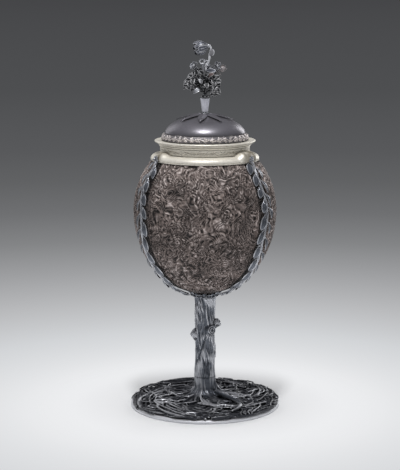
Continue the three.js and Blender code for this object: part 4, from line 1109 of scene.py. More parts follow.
class CupCalyx(bpy.types.Operator):
    """Builds the leafy dish under the nut"""
    bl_idname = "cup.calyx"
    bl_label = "Calyx"

    def execute(self, context):
        form = NutForm(context.scene.cup_nut)
        low, _, wide = extent("calyx_cup")
        skin = Skin()
        corners = [(TIE_BORE, low), (8.4, low), (9.6, low + 0.6), (10.2, form.bottom_at(10.2) - 0.45),
                   (TIE_BORE, form.bottom_at(TIE_BORE) - 0.4)]
        turned(skin, eased(corners, 0.3), 72)
        leaves = 9
        for k in range(leaves):
            azimuth = TURN * (k + 0.3) / leaves
            start = around(6.2, azimuth, low + 0.55)
            tip = around(wide - 0.4, azimuth + 0.12, form.bottom_at(wide) - 0.1 + 0.7 * (k % 2) - 0.7)
            leaf(skin, start, tip, outward(azimuth) * 0.5 - UP, 3.1, arch=0.12, fold=-0.22, thickness=0.8,
                 teeth=5, curl=-0.12 if k % 2 else 0.1, steps=16)
        for k in range(2 * leaves):
            azimuth = TURN * k / (2 * leaves)
            start, tip = around(7.6, azimuth, low + 1.0), around(11.6, azimuth + 0.1, low + 1.4)
            leaf(skin, start, tip, -UP, 1.1, arch=0.2, thickness=0.6, steps=8, across=5)
        skin.settled("leafy_calyx", "oxidised", 60, "cup", "dark_silver", "calyx_cup")
        return {"FINISHED"}


# Nut


def flowing_lines(points, pitch):
    """Fine ridges that run and curl over the nut, from 0 to 1."""
    bent = points + 4.5 * np.stack([ripple(points, 11.0, seed) for seed in (0.0, 17.3, 41.9)], -1)
    field = ripple(bent, 16.0) + 0.34 * ripple(bent, 7.0, 7.7)
    return (0.5 + 0.5 * np.cos(TURN * field * 14.0 / pitch)) ** 1.2


def carve_nut(nut, radii, arc, columns, lines):
    """The carving's height and share, the raised borders of the plain strips, and the painted shadow under
    the middle of each.
    """
    carving = Carving(radii, arc, columns)
    scroll, strip = in_mm(nut, "scroll_radius", "strip")
    rng = random.Random(3)
    total = arc[-1]
    top, bottom = 2.0, total - 21
    line = top + 0.8 * scroll
    row = 0
    while line < bottom - 2:
        around_count = max(3, round(TURN * carving.radius_at(line) / (3.4 * scroll)))
        for k in range(around_count):
            azimuth = TURN * (k + 0.5 * (row % 2) + rng.uniform(-0.16, 0.16)) / around_count
            origin = (azimuth, line + rng.uniform(-1.6, 1.6))
            size = scroll * rng.uniform(0.6, 1.15)
            turn, hand = rng.uniform(0, TURN), rng.choice((-1, 1))
            cut_scroll(carving, origin, size, turn, hand, rng.uniform(0.75, 1.05), rng.uniform(0.75, 1.0))
            corner = (azimuth + 0.5 * TURN / around_count, line + scroll)
            far, turn = scroll * rng.uniform(0.9, 1.5), rng.uniform(0, TURN)
            cut_spray(carving, corner, far, turn, 0.95, rng.uniform(0.7, 1.0))
        line += 2.1 * scroll
        row += 1
    for _ in range(420):
        along = top + (bottom - top) * rng.random() ** 1.3
        bend = lobe_points(rng.uniform(1.6, 3.6), rng.uniform(-0.7, 0.7), 5)
        carving.stroke((TURN * rng.random(), along), turned_points(bend, rng.uniform(0, TURN)),
                       rng.uniform(0.5, 0.75), rng.uniform(0.5, 1.0))
    azimuth = circle(columns)
    carved = np.ones((len(arc), columns))
    border, shade = np.zeros((2, len(arc), columns))
    for strap in strap_azimuths():
        gap = np.abs((azimuth - strap + math.pi) % TURN - math.pi)[None] * radii[:, None]
        carved *= np.clip((gap - strip) / 0.7, 0, 1)
        # A painted shadow under the middle of the strap.
        shade = np.maximum(shade, np.clip((strip - 1.5 - gap) / 2, 0, 1))
        border = np.maximum(border, np.exp(-(((gap - strip + 0.7) / 0.7) ** 2)))
    span = arc[:, None]
    carved = carved * np.clip((span - top + 0.6) / 0.8, 0, 1) * np.clip((bottom - span) / 1.2, 0, 1)
    border = np.maximum(border * (span < bottom), np.exp(-(((span - bottom - 0.8) / 0.8) ** 2)) * 0.7)
    bold = carving.height
    height = np.maximum(bold * (0.6 + 0.4 * lines), 0.78 * lines * (1 - 0.6 * bold))
    return height * carved, carved, border, shade


class CupNut(bpy.types.Operator):
    """Builds the carved coconut shell"""
    bl_idname = "cup.nut"
    bl_label = "Nut"

    def execute(self, context):
        nut = context.scene.cup_nut
        form = NutForm(nut)
        wall, relief = in_mm(nut, "wall", "relief")
        columns, rows, low_rows = 570, 150, 12
        bore = 2.8
        low_angle = -math.acos(bore / form.radius)
        plain_angle = -1.15
        angles = np.concatenate([np.linspace(form.top_angle, plain_angle, rows),
                                 np.linspace(plain_angle, low_angle, low_rows + 1)[1:]])
        rows += low_rows
        profile = form.profile(angles)
        arc = np.concatenate([[0], np.cumsum(np.linalg.norm(np.diff(profile, axis=0), axis=1))])
        azimuth = circle(columns)
        (pitch,) = in_mm(nut, "line_pitch")
        lines = flowing_lines(around(profile[:, :1], azimuth, profile[:, 1:]), pitch)
        height, carved, border, shade = carve_nut(nut, profile[:, 0], arc, columns, lines)
        # Painted light: a lighter zone near the mouth, under the top light, and one lower down, in light from
        # the floor; the cloud adds random wear.
        lit_bands = np.exp(-(((arc - 10) / 15) ** 2)) + 0.6 * np.exp(-(((arc - 95) / 14) ** 2))
        cloud = ripple(around(profile[:, :1], azimuth, profile[:, 1:]), 13.0, 5.0)
        brightening = np.clip(0.38 + 0.62 * lit_bands[:, None] + 0.9 * cloud, 0, 1)
        ground = -0.4
        outside = np.where(carved > 0.01, ground * carved + height, 0) * relief
        outside = outside + 0.4 * border * (1 - carved)
        inner_angles = np.linspace(low_angle, form.top_angle, 10)
        inner = form.profile(inner_angles, -wall)
        inner[-1, 1], inner[0, 0] = form.mouth, bore
        normal = form.profile(angles, 1.0) - profile
        shell = profile[:, None] + normal[:, None] * outside[..., None]
        shell[0, :, 1] = form.mouth
        loops = around(shell[..., 0], azimuth, shell[..., 1])
        plain = around(inner[:, :1], azimuth, inner[:, 1:])
        low = np.clip((arc - arc[-1] + 24) / 5, 0, 1)[:, None]
        # Plain strips: a painted highlight on the raised borders, a painted shadow under each strap and a
        # little darker towards the bottom.
        plain_mark = 0.2 + 0.75 * border * brightening - 0.25 * shade - 0.12 * low
        wear = np.where(carved > 0.5, 0.05 + height * (0.66 + 0.42 * brightening), plain_mark)
        skin = Skin()
        marks = np.concatenate([wear, np.full((len(inner), columns), 0.35)])
        skin.add(np.concatenate([loops, plain]), grid(rows + len(inner), columns, True, True), wear=marks)
        skin.settled("carved_nut", "nut", 180, "cup", "coconut", "coconut_shell")
        return {"FINISHED"}


# Collar and neck


def running_vine(radius, rows, height, columns, repeats, thick, seed, lying=0.0, fruit=6):
    """A winding stem with leaves and fruit on a band, from 0 to 1; lying lays the leaves along it."""
    arc = np.linspace(0, height, rows)
    carving = Carving(np.full(rows, radius), arc, columns)
    rng = random.Random(seed)
    pitch = TURN / repeats
    t = np.linspace(0, 1, 26)
    sizes = thick * np.array([0.7, 0.95, 1.05, 1.0, 0.8, 0.45])
    for k in range(repeats):
        hand = 1 if k % 2 else -1
        crest = (pitch * k, height * 0.5)
        stem = np.stack([pitch * radius * (t - 0.5), hand * height * 0.16 * np.sin(math.pi * t)], 1)
        carving.stroke(crest, stem, 0.8 * thick, 0.7)
        for way in (1, -1):
            root = np.array([rng.uniform(-0.5, 0.5), way * height * 0.05])
            for j in range(4):
                spread = (j - 1.5) * 0.75 * (1 - lying) + (1 if j > 1 else -1) * lying * 1.3
                spread += rng.uniform(-0.2, 0.2) + (math.pi if way < 0 else 0)
                size = height * rng.uniform(0.3, 0.5) * (1 + lying)
                lobe = turned_points(lobe_points(size, rng.uniform(-0.5, 0.5)), spread)
                carving.stroke(crest, root + lobe, sizes, rng.uniform(0.7, 1.0))
        for j in range(fruit):
            place = pitch * (k + rng.random()), height * rng.uniform(0.12, 0.88)
            carving.dab(*place, thick * rng.uniform(0.6, 1.0), 0.8)
    return carving.height


SHOULDERS = [
    # for each strap: half width of the collar's shoulder there, and how far it stands out
    (5.6, 2.4), (8.8, 3.3), (5.6, 2.4),
]


def plain_ring(name, node, body, inner, rounding, columns, wear):
    """A gilt ring of rectangular section over a frame node."""
    low, high, wide = extent(node)
    skin = Skin()
    corners = [(inner, low), (wide, low), (wide, high), (inner, high)]
    turned(skin, eased(corners, rounding), columns, wear=wear)
    skin.settled(name, "gilt", 50, body, "gilt_silver", node)


class CupCollar(bpy.types.Operator):
    """Builds the collar, the neck, its bead and its liner"""
    bl_idname = "cup.collar"
    bl_label = "Collar"

    def execute(self, context):
        (engraving,) = in_mm(context.scene.cup_collar, "engraving")
        neck = reach("neck_band")
        inner = neck - 1.2
        self.skirt(NutForm(context.scene.cup_nut), neck, inner)
        self.band(neck, inner, engraving)
        self.bead(inner)
        plain_ring("liner", "neck_liner", "cup", reach("neck_liner") - 0.8, 0.2, 180, 0.55)
        return {"FINISHED"}

    def skirt(self, form, neck, inner):
        """The bulging collar over the nut's rim, with a dull shoulder at each strap."""
        low, high, wide = extent("collar_skirt")
        rest = form.mouth + GAP
        lip_inner = form.radius_at(low) + GAP
        t = np.linspace(0, math.pi / 2, 14)
        foot = neck + 1.0, low + 1.1
        bulge = np.stack([foot[0] + (wide - foot[0]) * np.cos(t), foot[1] + (high - foot[1]) * np.sin(t)], 1)
        skin = Skin()
        profile = np.concatenate([
            [(inner, rest), (lip_inner, rest), (lip_inner, low), (wide - 0.15, low), (wide, low + 0.25),
             (wide, low + 0.75), (wide - 0.35, low + 0.95)], bulge, [(neck + 0.6, high), (inner, high)]])
        columns = 480
        turn = circle(columns)
        push, dull = np.zeros((2, len(profile), columns))
        rise = np.concatenate([np.zeros(7), 0.3 + 0.7 * np.sin(1.5 * t), [0.7, 0.0]])
        for azimuth, (half, stand) in zip(strap_azimuths(), SHOULDERS):
            gap = np.abs((turn - azimuth + math.pi) % TURN - math.pi) * wide
            share = np.clip((half + 3.5 - gap) / 7, 0, 1)
            share = share * share * (3 - 2 * share)
            push += rise[:, None] * stand * share
            dull += (rise[:, None] > 0) * share
        spots = 0.5 + 0.5 * ripple(around(profile[:, :1], turn, profile[:, 1:]), 3.0, 8.0)
        turned(skin, profile, columns, push, wear=0.6 - dull * (0.2 + 0.3 * spots))
        skin.settled("collar", "gilt", 50, "cup", "gilt_silver", "collar_skirt")

    def band(self, neck, inner, engraving):
        """The upright neck with its engraved vine."""
        low, high = heights("neck_band")
        rows, columns = 26, 1080
        groove = running_vine(neck, rows, high - low, columns, 31, 0.32, 9, lying=1.0, fruit=0)
        band = np.stack([np.full(rows, neck - 0.05), np.linspace(low + 0.1, high - 0.1, rows)], 1)
        back = np.array([(neck - 0.4, high), (inner, high), (inner, low), (neck - 0.4, low)])
        push = np.concatenate([-engraving * groove, np.zeros((4, columns))])
        wear = np.concatenate([0.62 - 0.55 * groove, np.full((4, columns), 0.5)])
        skin = Skin()
        turned(skin, np.concatenate([band, back]), columns, push, wear)
        skin.settled("engraved_neck", "neck", 180, "cup", "gilt_silver", "neck_band")

    def bead(self, inner):
        """The rolled bead on top of the neck."""
        low, high, wide = extent("neck_bead")
        t = np.linspace(-math.pi / 2, math.pi / 2, 11)
        half = (high - low) / 2
        nose = np.stack([wide - half + half * np.cos(t), (low + high) / 2 + half * np.sin(t)], 1)
        skin = Skin()
        turned(skin, np.concatenate([[(inner, high), (inner, low)], nose]), 240, wear=0.65)
        skin.settled("rolled_bead", "gilt", 50, "cup", "gilt_silver", "neck_bead")


# Straps


class CupStraps(bpy.types.Operator):
    """Builds the vine straps and their rivets"""
    bl_idname = "cup.straps"
    bl_label = "Straps"

    def execute(self, context):
        straps = context.scene.cup_straps
        form = NutForm(context.scene.cup_nut)
        for k, azimuth in enumerate(strap_azimuths()):
            self.strap(k + 1, azimuth, straps, form)
            self.rivet(k + 1, azimuth)
        return {"FINISHED"}

    def strap(self, number, azimuth, straps, form):
        lift, stem, sway, length, half, spread = in_mm(straps, "lift", "stem_radius", "sway", "leaf_length",
                                                       "leaf_half_width", "leaf_spread")
        leaves = straps.leaves
        rng = random.Random(number)
        node = f"vine_strap_{number}"
        top_z = heights(node)[1] - 3.6
        top = math.asin((top_z - form.equator) / form.upper)
        bottom = -math.acos(14.6 / form.radius)
        reach_mm = form.radius * (top - bottom)

        def place(s, aside, offset):
            angle = top + (bottom - top) * np.asarray(s, float)
            return form.point(azimuth + aside / form.profile(angle)[..., 0], angle, offset)

        def stem_aside(s):
            aside = sway * np.sin(TURN * 2.75 * s + number)
            return aside * np.clip(6 * (1 - s), 0, 1) * np.clip(10 * s, 0, 1)

        s = np.linspace(0, 1, 150)
        rise = lift + 0.9 * (1 - np.minimum(1, 12 * s))
        skin = Skin()
        swept(skin, place(s, stem_aside(s), rise + 0.3), stem * (1 + 0.12 * np.sin(70 * s)), 10, ridges=3,
              depth=0.14, twist=16, wear=0.85)
        for k in range(leaves):
            start = (k + 0.3) / (leaves + 1.2)
            side = 1 if k % 2 else -1
            size = length * rng.uniform(0.86, 1.08) * (1 - 0.3 * max(0, start - 0.8) / 0.2)
            end = min(start + 0.96 * size / reach_mm, 0.995)
            far = spread * rng.uniform(0.85, 1.08)
            angle = top + (bottom - top) * (start + end) / 2
            up = form.normal(azimuth, angle) + 0.3 * side * unit(np.cross(UP, outward(azimuth)))
            root = place(start + 0.012, stem_aside(start) + 0.52 * far * side, lift + rng.uniform(0, 0.5))
            tip = place(end, stem_aside(end) + side * far, lift + rng.uniform(-0.2, 0.9))
            leaf(skin, root, tip, up, half * rng.uniform(0.85, 1.1), arch=0.08, fold=0.16, thickness=0.9,
                 curl=0.02, outline=lens, wear=0.52)
            fork = place(max(start - 0.02, 0), stem_aside(start), lift + 0.4)
            twig = [fork, (root + place(start, 0, lift)) / 2, root]
            swept(skin, curve(twig, 8), 0.5, 7, wear=0.6)
        lug_z = heights(f"strap_pin_{number}")
        centre_z = (lug_z[0] + lug_z[1]) / 2
        out = form.radius_at(heights("collar_skirt")[0]) + 2.9
        centre = around(out, azimuth, centre_z)
        for k in range(7):
            turn = TURN * k / 7
            aim = math.cos(turn) * UP + math.sin(turn) * unit(np.cross(UP, outward(azimuth)))
            leaf(skin, centre + 0.9 * aim, centre + 3.0 * aim, outward(azimuth), 1.0, arch=0.12, fold=0.2,
                 thickness=0.7, outline=rounded, steps=8, across=7, wear=0.75)
        ball(skin, around(out - 0.2, azimuth, centre_z), 1.0, wear=0.9)
        neck = place(0.0, 0.0, rise[0])
        path = [neck, (neck + centre) / 2, around(out, azimuth, centre_z - 1)]
        swept(skin, curve(path, 6), 1.0, 8)
        skin.settled(f"vine_{number}", "oxidised", 60, "cup", "dark_silver", node)

    def rivet(self, number, azimuth):
        node = f"strap_pin_{number}"
        low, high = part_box(node)
        centre = (np.array(low) + np.array(high)) / 2 / MM
        half = (high.z - low.z) / 2 / MM
        aim = outward(azimuth)
        skin = Skin()
        far = float(max(np.array(high).dot(aim), np.array(low).dot(aim))) / MM
        level = centre[2] * UP
        swept(skin, [level + aim * (far - 7.2), level + aim * (far - 1.2)], 0.6, 12)
        swept(skin, [level + aim * (far - 1.15), level + aim * (far - 0.75)], [half * 0.9, half * 0.75], 16)
        skin.settled(f"rivet_{number}", "oxidised", 60, "cup", "dark_silver", node)


# Cover


class CupCoverRings(bpy.types.Operator):
    """Builds the cover's step, bezel, flange and frieze"""
    bl_idname = "cup.cover_rings"
    bl_label = "Cover rings"

    def execute(self, context):
        (relief,) = in_mm(context.scene.cup_collar, "frieze_relief")
        bezel = reach("lid_bezel")
        plain_ring("cover_step", "lid_step", "cover", bezel + GAP, 0.35, 240, 0.6)
        plain_ring("cover_bezel", "lid_bezel", "cover", bezel - 1.0, 0.15, 240, 0.6)
        self.flange(bezel)
        self.frieze(relief)
        return {"FINISHED"}

    def flange(self, bezel):
        """The wide flange with a raised lip."""
        low, high, wide = extent("lid_flange")
        inner = bezel - 1.0
        skin = Skin()
        corners = [(inner, low), (wide - 1.6, low), (wide - 0.3, low + 0.1), (wide, (low + high) / 2 + 0.1),
                   (wide - 0.5, high), (wide - 1.7, high - 0.1), (wide - 2.2, high - 0.32),
                   (inner + 2, high - 0.3), (inner, high - 0.3)]
        turned(skin, eased(corners, 0.3), 240, wear=0.6)
        skin.settled("cover_flange", "gilt", 50, "cover", "gilt_silver", "lid_flange")

    def frieze(self, relief):
        """The leaning band with its chased vine."""
        low, high, wide = extent("lid_frieze")
        lean = 1.6
        rows, columns = 44, 1600
        s = np.linspace(0, 1, rows)
        face = np.stack([wide - relief * 0.6 - lean * s**2.4, low + (high - low) * s], 1)
        pattern = running_vine(wide, rows, high - low, columns, 40, 0.44, 5)
        back = np.array([(wide - lean - 1.6, high), (wide - 1.7, low)])
        push = np.concatenate([relief * pattern, np.zeros((2, columns))])
        wear = np.concatenate([0.2 + 0.6 * pattern, np.full((2, columns), 0.5)])
        skin = Skin()
        turned(skin, np.concatenate([face, back]), columns, push, wear)
        skin.settled("chased_frieze", "frieze", 180, "cover", "polished_silver", "lid_frieze")


class DomeForm:
    """The dome's outside as a height over its foot at each radius."""

    def __init__(self, cover):
        self.low, self.high, self.radius = extent("lid_dome")
        self.power = cover.dome_fullness

    def z(self, radius, drop=0.0):
        share = np.clip(np.asarray(radius, float) / (self.radius - drop), 0, 1)
        return self.low + (self.high - self.low - drop) * (1 - share**self.power) ** (1 / self.power)

    def normal(self, azimuth, radius):
        slope = (self.z(radius + 0.05) - self.z(radius - 0.05)) / 0.1
        return unit(-slope * outward(azimuth) + UP)


class CupDome(bpy.types.Operator):
    """Builds the dome and the star of leaves on it"""
    bl_idname = "cup.dome"
    bl_label = "Dome and star"

    def execute(self, context):
        cover = context.scene.cup_cover
        form = DomeForm(cover)
        wall = 1.3
        t = np.linspace(0, math.pi / 2, 48)
        outer = np.maximum(form.radius * np.cos(t), FINIAL_BORE)
        outer[-1] = FINIAL_BORE
        inner = np.maximum((form.radius - wall) * np.cos(t[::-1]), FINIAL_BORE)
        outside, inside = np.stack([outer, form.z(outer)], 1), np.stack([inner, form.z(inner, wall)], 1)
        profile = np.concatenate([outside, inside])
        columns = 180
        azimuth = circle(columns)
        places = around(profile[:, :1], azimuth, profile[:, 1:])
        dents = 0.05 * ripple(places, 9.0)
        skin = Skin()
        turned(skin, profile, columns, dents, 0.6)
        skin.settled("dome", "dome", 50, "cover", "polished_silver", "lid_dome")
        far, half = in_mm(cover, "star_reach", "star_half_width")
        for k in range(8):
            self.star_leaf(k + 1, cover.star_turn + TURN * k / 8, form, far, half)
        return {"FINISHED"}

    def star_leaf(self, number, azimuth, form, far, half):
        """A long leaf that follows the dome, its edges standing off it."""
        start = reach("finial_base_ring") + 0.7
        steps, across = 40, 13
        s = np.linspace(0, 1, steps)
        radius = start + (far - start) * s
        widest = 0.36
        swelling = 0.36 + 0.64 * np.sin(s / widest * math.pi / 2)
        tapering = np.cos((s - widest) / (1 - widest) * math.pi / 2) ** 0.9
        width = np.where(s < widest, swelling, tapering)
        width = half * np.maximum(width, 0.03) * (1 - 0.1 * ((s * 9) % 1.0) * (s > 0.15))
        x = np.concatenate([np.linspace(-1, 1, across), np.linspace(1, -1, across)[1:-1]])
        face = np.concatenate([np.ones(across), -np.ones(across - 2)])
        side = np.array([math.cos(azimuth), math.sin(azimuth), 0])
        loops = np.empty((steps, len(x), 3))
        for i in range(steps):
            middle = around(radius[i], azimuth, form.z(radius[i]))
            up = form.normal(azimuth, radius[i])
            thick = 0.5 * (1 - 0.45 * s[i])
            body = thick / 2 * np.sqrt(1 - x**2) * face
            rib = 0.26 * np.exp(-((x / 0.1) ** 2)) * (face > 0)
            veins = 0.09 * np.clip(np.sin(26 * s[i] - 5 * np.abs(x)), 0, 1) * (face > 0) * (np.abs(x) < 0.9)
            drop = (x * width[i]) ** 2 / (2 * form.radius)
            stand = 0.68 + 0.25 * s[i] ** 3 + 0.22 * np.abs(x) ** 2 + body + rib + veins - 0.6 * drop
            loops[i] = middle + side * (x * width[i])[:, None] + up * stand[:, None]
        skin = Skin()
        skin.wrapped(loops, 0.55 + 0.3 * np.abs(x) ** 6)
        node = f"star_leaf_{number}"
        skin.settled(f"star_{number}", "dome", 50, "cover", "polished_silver", node)


# Finial


class CupHolder(bpy.types.Operator):
    """Builds the finial's beaded ring, its faceted holder and the collar on it"""
    bl_idname = "cup.holder"
    bl_label = "Finial holder"

    def execute(self, context):
        self.ring(context.scene.cup_finial.beads)
        self.holder()
        self.collar()
        return {"FINISHED"}

    def ring(self, beads):
        """The beaded ring on top of the dome."""
        low, high, wide = extent("finial_base_ring")
        skin = Skin()
        corners = [(FINIAL_BORE, low), (wide - 0.5, low), (wide - 0.5, high), (FINIAL_BORE, high)]
        turned(skin, eased(corners, 0.2), 48)
        for k in range(beads):
            ball(skin, around(wide - 0.42, TURN * k / beads, (low + high) / 2), 0.42, 6, 8)
        skin.settled("beaded_ring", "oxidised", 50, "cover", "polished_silver", "finial_base_ring")

    def holder(self):
        """The tapered holder with six soft facets."""
        low, high = heights("finial_holder")
        sides = 6
        top, bottom = 3.7, 2.3
        skin = Skin()
        levels = np.array([0, 0.03, 0.06, 0.5, 0.93, 0.97, 1.0])
        widths = np.array([0.9, 1.0, 1.0, 1.0, 1.0, 1.06, 0.96])
        first = math.radians(-12)
        turn = first + circle(sides * 6)
        facet = np.cos(math.pi / sides) / np.cos((turn - first) % (TURN / sides) - math.pi / sides)
        flat = 0.85 * facet + 0.15
        radius = (bottom + (top - bottom) * levels) * widths
        loops = around(radius[:, None] * flat, -turn, (low + (high - low) * levels)[:, None])
        core = around(FINIAL_BORE, -turn, (high - (high - low) * levels)[:, None])
        rows = len(levels) * 2
        skin.add(np.concatenate([loops, core]), grid(rows, len(turn), True, True), wear=0.6)
        skin.settled("faceted_holder", "holder", 25, "cover", "polished_silver", "finial_holder")

    def collar(self):
        """The small collar of leaves on the holder."""
        low, high, wide = extent("holder_collar")
        skin = Skin()
        corners = [(FINIAL_BORE, low), (wide - 0.5, low), (wide - 0.7, (low + high) / 2), (wide - 0.2, high),
                   (FINIAL_BORE, high)]
        turned(skin, eased(corners, 0.25), 60)
        for k in range(8):
            azimuth = TURN * k / 8
            start, tip = around(wide - 1.4, azimuth, low + 0.2), around(wide - 0.1, azimuth, high - 0.1)
            leaf(skin, start, tip, outward(azimuth), 0.9, arch=0.12, thickness=0.4, steps=7, across=5)
        skin.settled("holder_leaves", "bouquet", 60, "cover", "dark_silver", "holder_collar")


class Core:
    """The bouquet's core: an upright ellipsoid that its stalks grow from."""

    def __init__(self):
        self.low, self.high, self.radius = extent("bouquet_core")
        self.middle = (self.low + self.high) / 2

    def on(self, azimuth, height, depth=0.9):
        """A point under the surface, azimuth in degrees, height counted from the middle."""
        share = math.sqrt(max(0, 1 - (height / ((self.high - self.low) / 2)) ** 2))
        return around(self.radius * share * depth, math.radians(azimuth), self.middle + height)

    def aside(self, x, y, height):
        return np.array([x, y, self.middle + height], float)


def add_stalk(skin, root, head, radius=0.5, rise=0.8):
    root, head = np.asarray(root, float), np.asarray(head, float)
    path = curve([root, root + 0.6 * (head - root) + rise * UP, head], 12)
    swept(skin, path, np.linspace(radius, radius * 0.8, 13), 8)


def add_flower(skin, head, facing, radius, petals, thickness, cup=0.35, layers=1):
    """Petals round an eye of small pearls, open towards facing."""
    facing = unit(facing)
    side = unit(np.cross(facing, UP + np.array([0.01, 0, 0])))
    up = np.cross(side, facing)
    for layer in range(layers):
        size = radius * (1 - 0.32 * layer)
        for k in range(petals):
            turn = TURN * (k + 0.5 * layer) / petals
            aim = side * math.cos(turn) + up * math.sin(turn)
            tip = head + aim * size + facing * (cup + 0.25 * layer) * size
            leaf(skin, head + aim * 0.15 * size, tip, facing - 0.6 * aim, size * 0.95 * math.pi / petals,
                 arch=-0.12, fold=0.18, thickness=thickness, outline=rounded, curl=0.06, steps=9, across=7,
                 wear=0.6)
    ball(skin, head + facing * 0.22 * radius, 0.26 * radius, 6, 10, wear=0.7)
    for k in range(6):
        turn = TURN * k / 6
        aim = side * math.cos(turn) + up * math.sin(turn)
        ball(skin, head + aim * 0.3 * radius + facing * 0.25 * radius, 0.11 * radius, 5, 6, wear=0.8)


def add_spray(skin, points, leaves, length, half, side, thickness, seed):
    """A curved twig with toothed leaves on both sides and one at its tip."""
    rng = random.Random(seed)
    path = curve(points, 24)
    swept(skin, path, np.linspace(0.6, 0.35, 25), 7)
    along = unit(np.gradient(path, axis=0))
    for k in range(leaves):
        s = 0.12 + 0.86 * k / (leaves - 1)
        i = int(s * 24)
        across = np.cross(along[i], side) * (1 if k % 2 else -1)
        lift = unit(side) * rng.uniform(-0.5, 0.7)
        aim = unit(along[i] * (1.2 if k == leaves - 1 else rng.uniform(0.3, 0.8)) + across * 0.8 + lift)
        size = length * rng.uniform(0.75, 1.1) * (1 - 0.25 * s)
        leaf(skin, path[i], path[i] + aim * size, unit(side) + 0.6 * across, half * rng.uniform(0.8, 1.1),
             arch=rng.uniform(0.05, 0.2), fold=0.35, thickness=thickness, teeth=3, steps=10, across=7,
             wear=0.36)


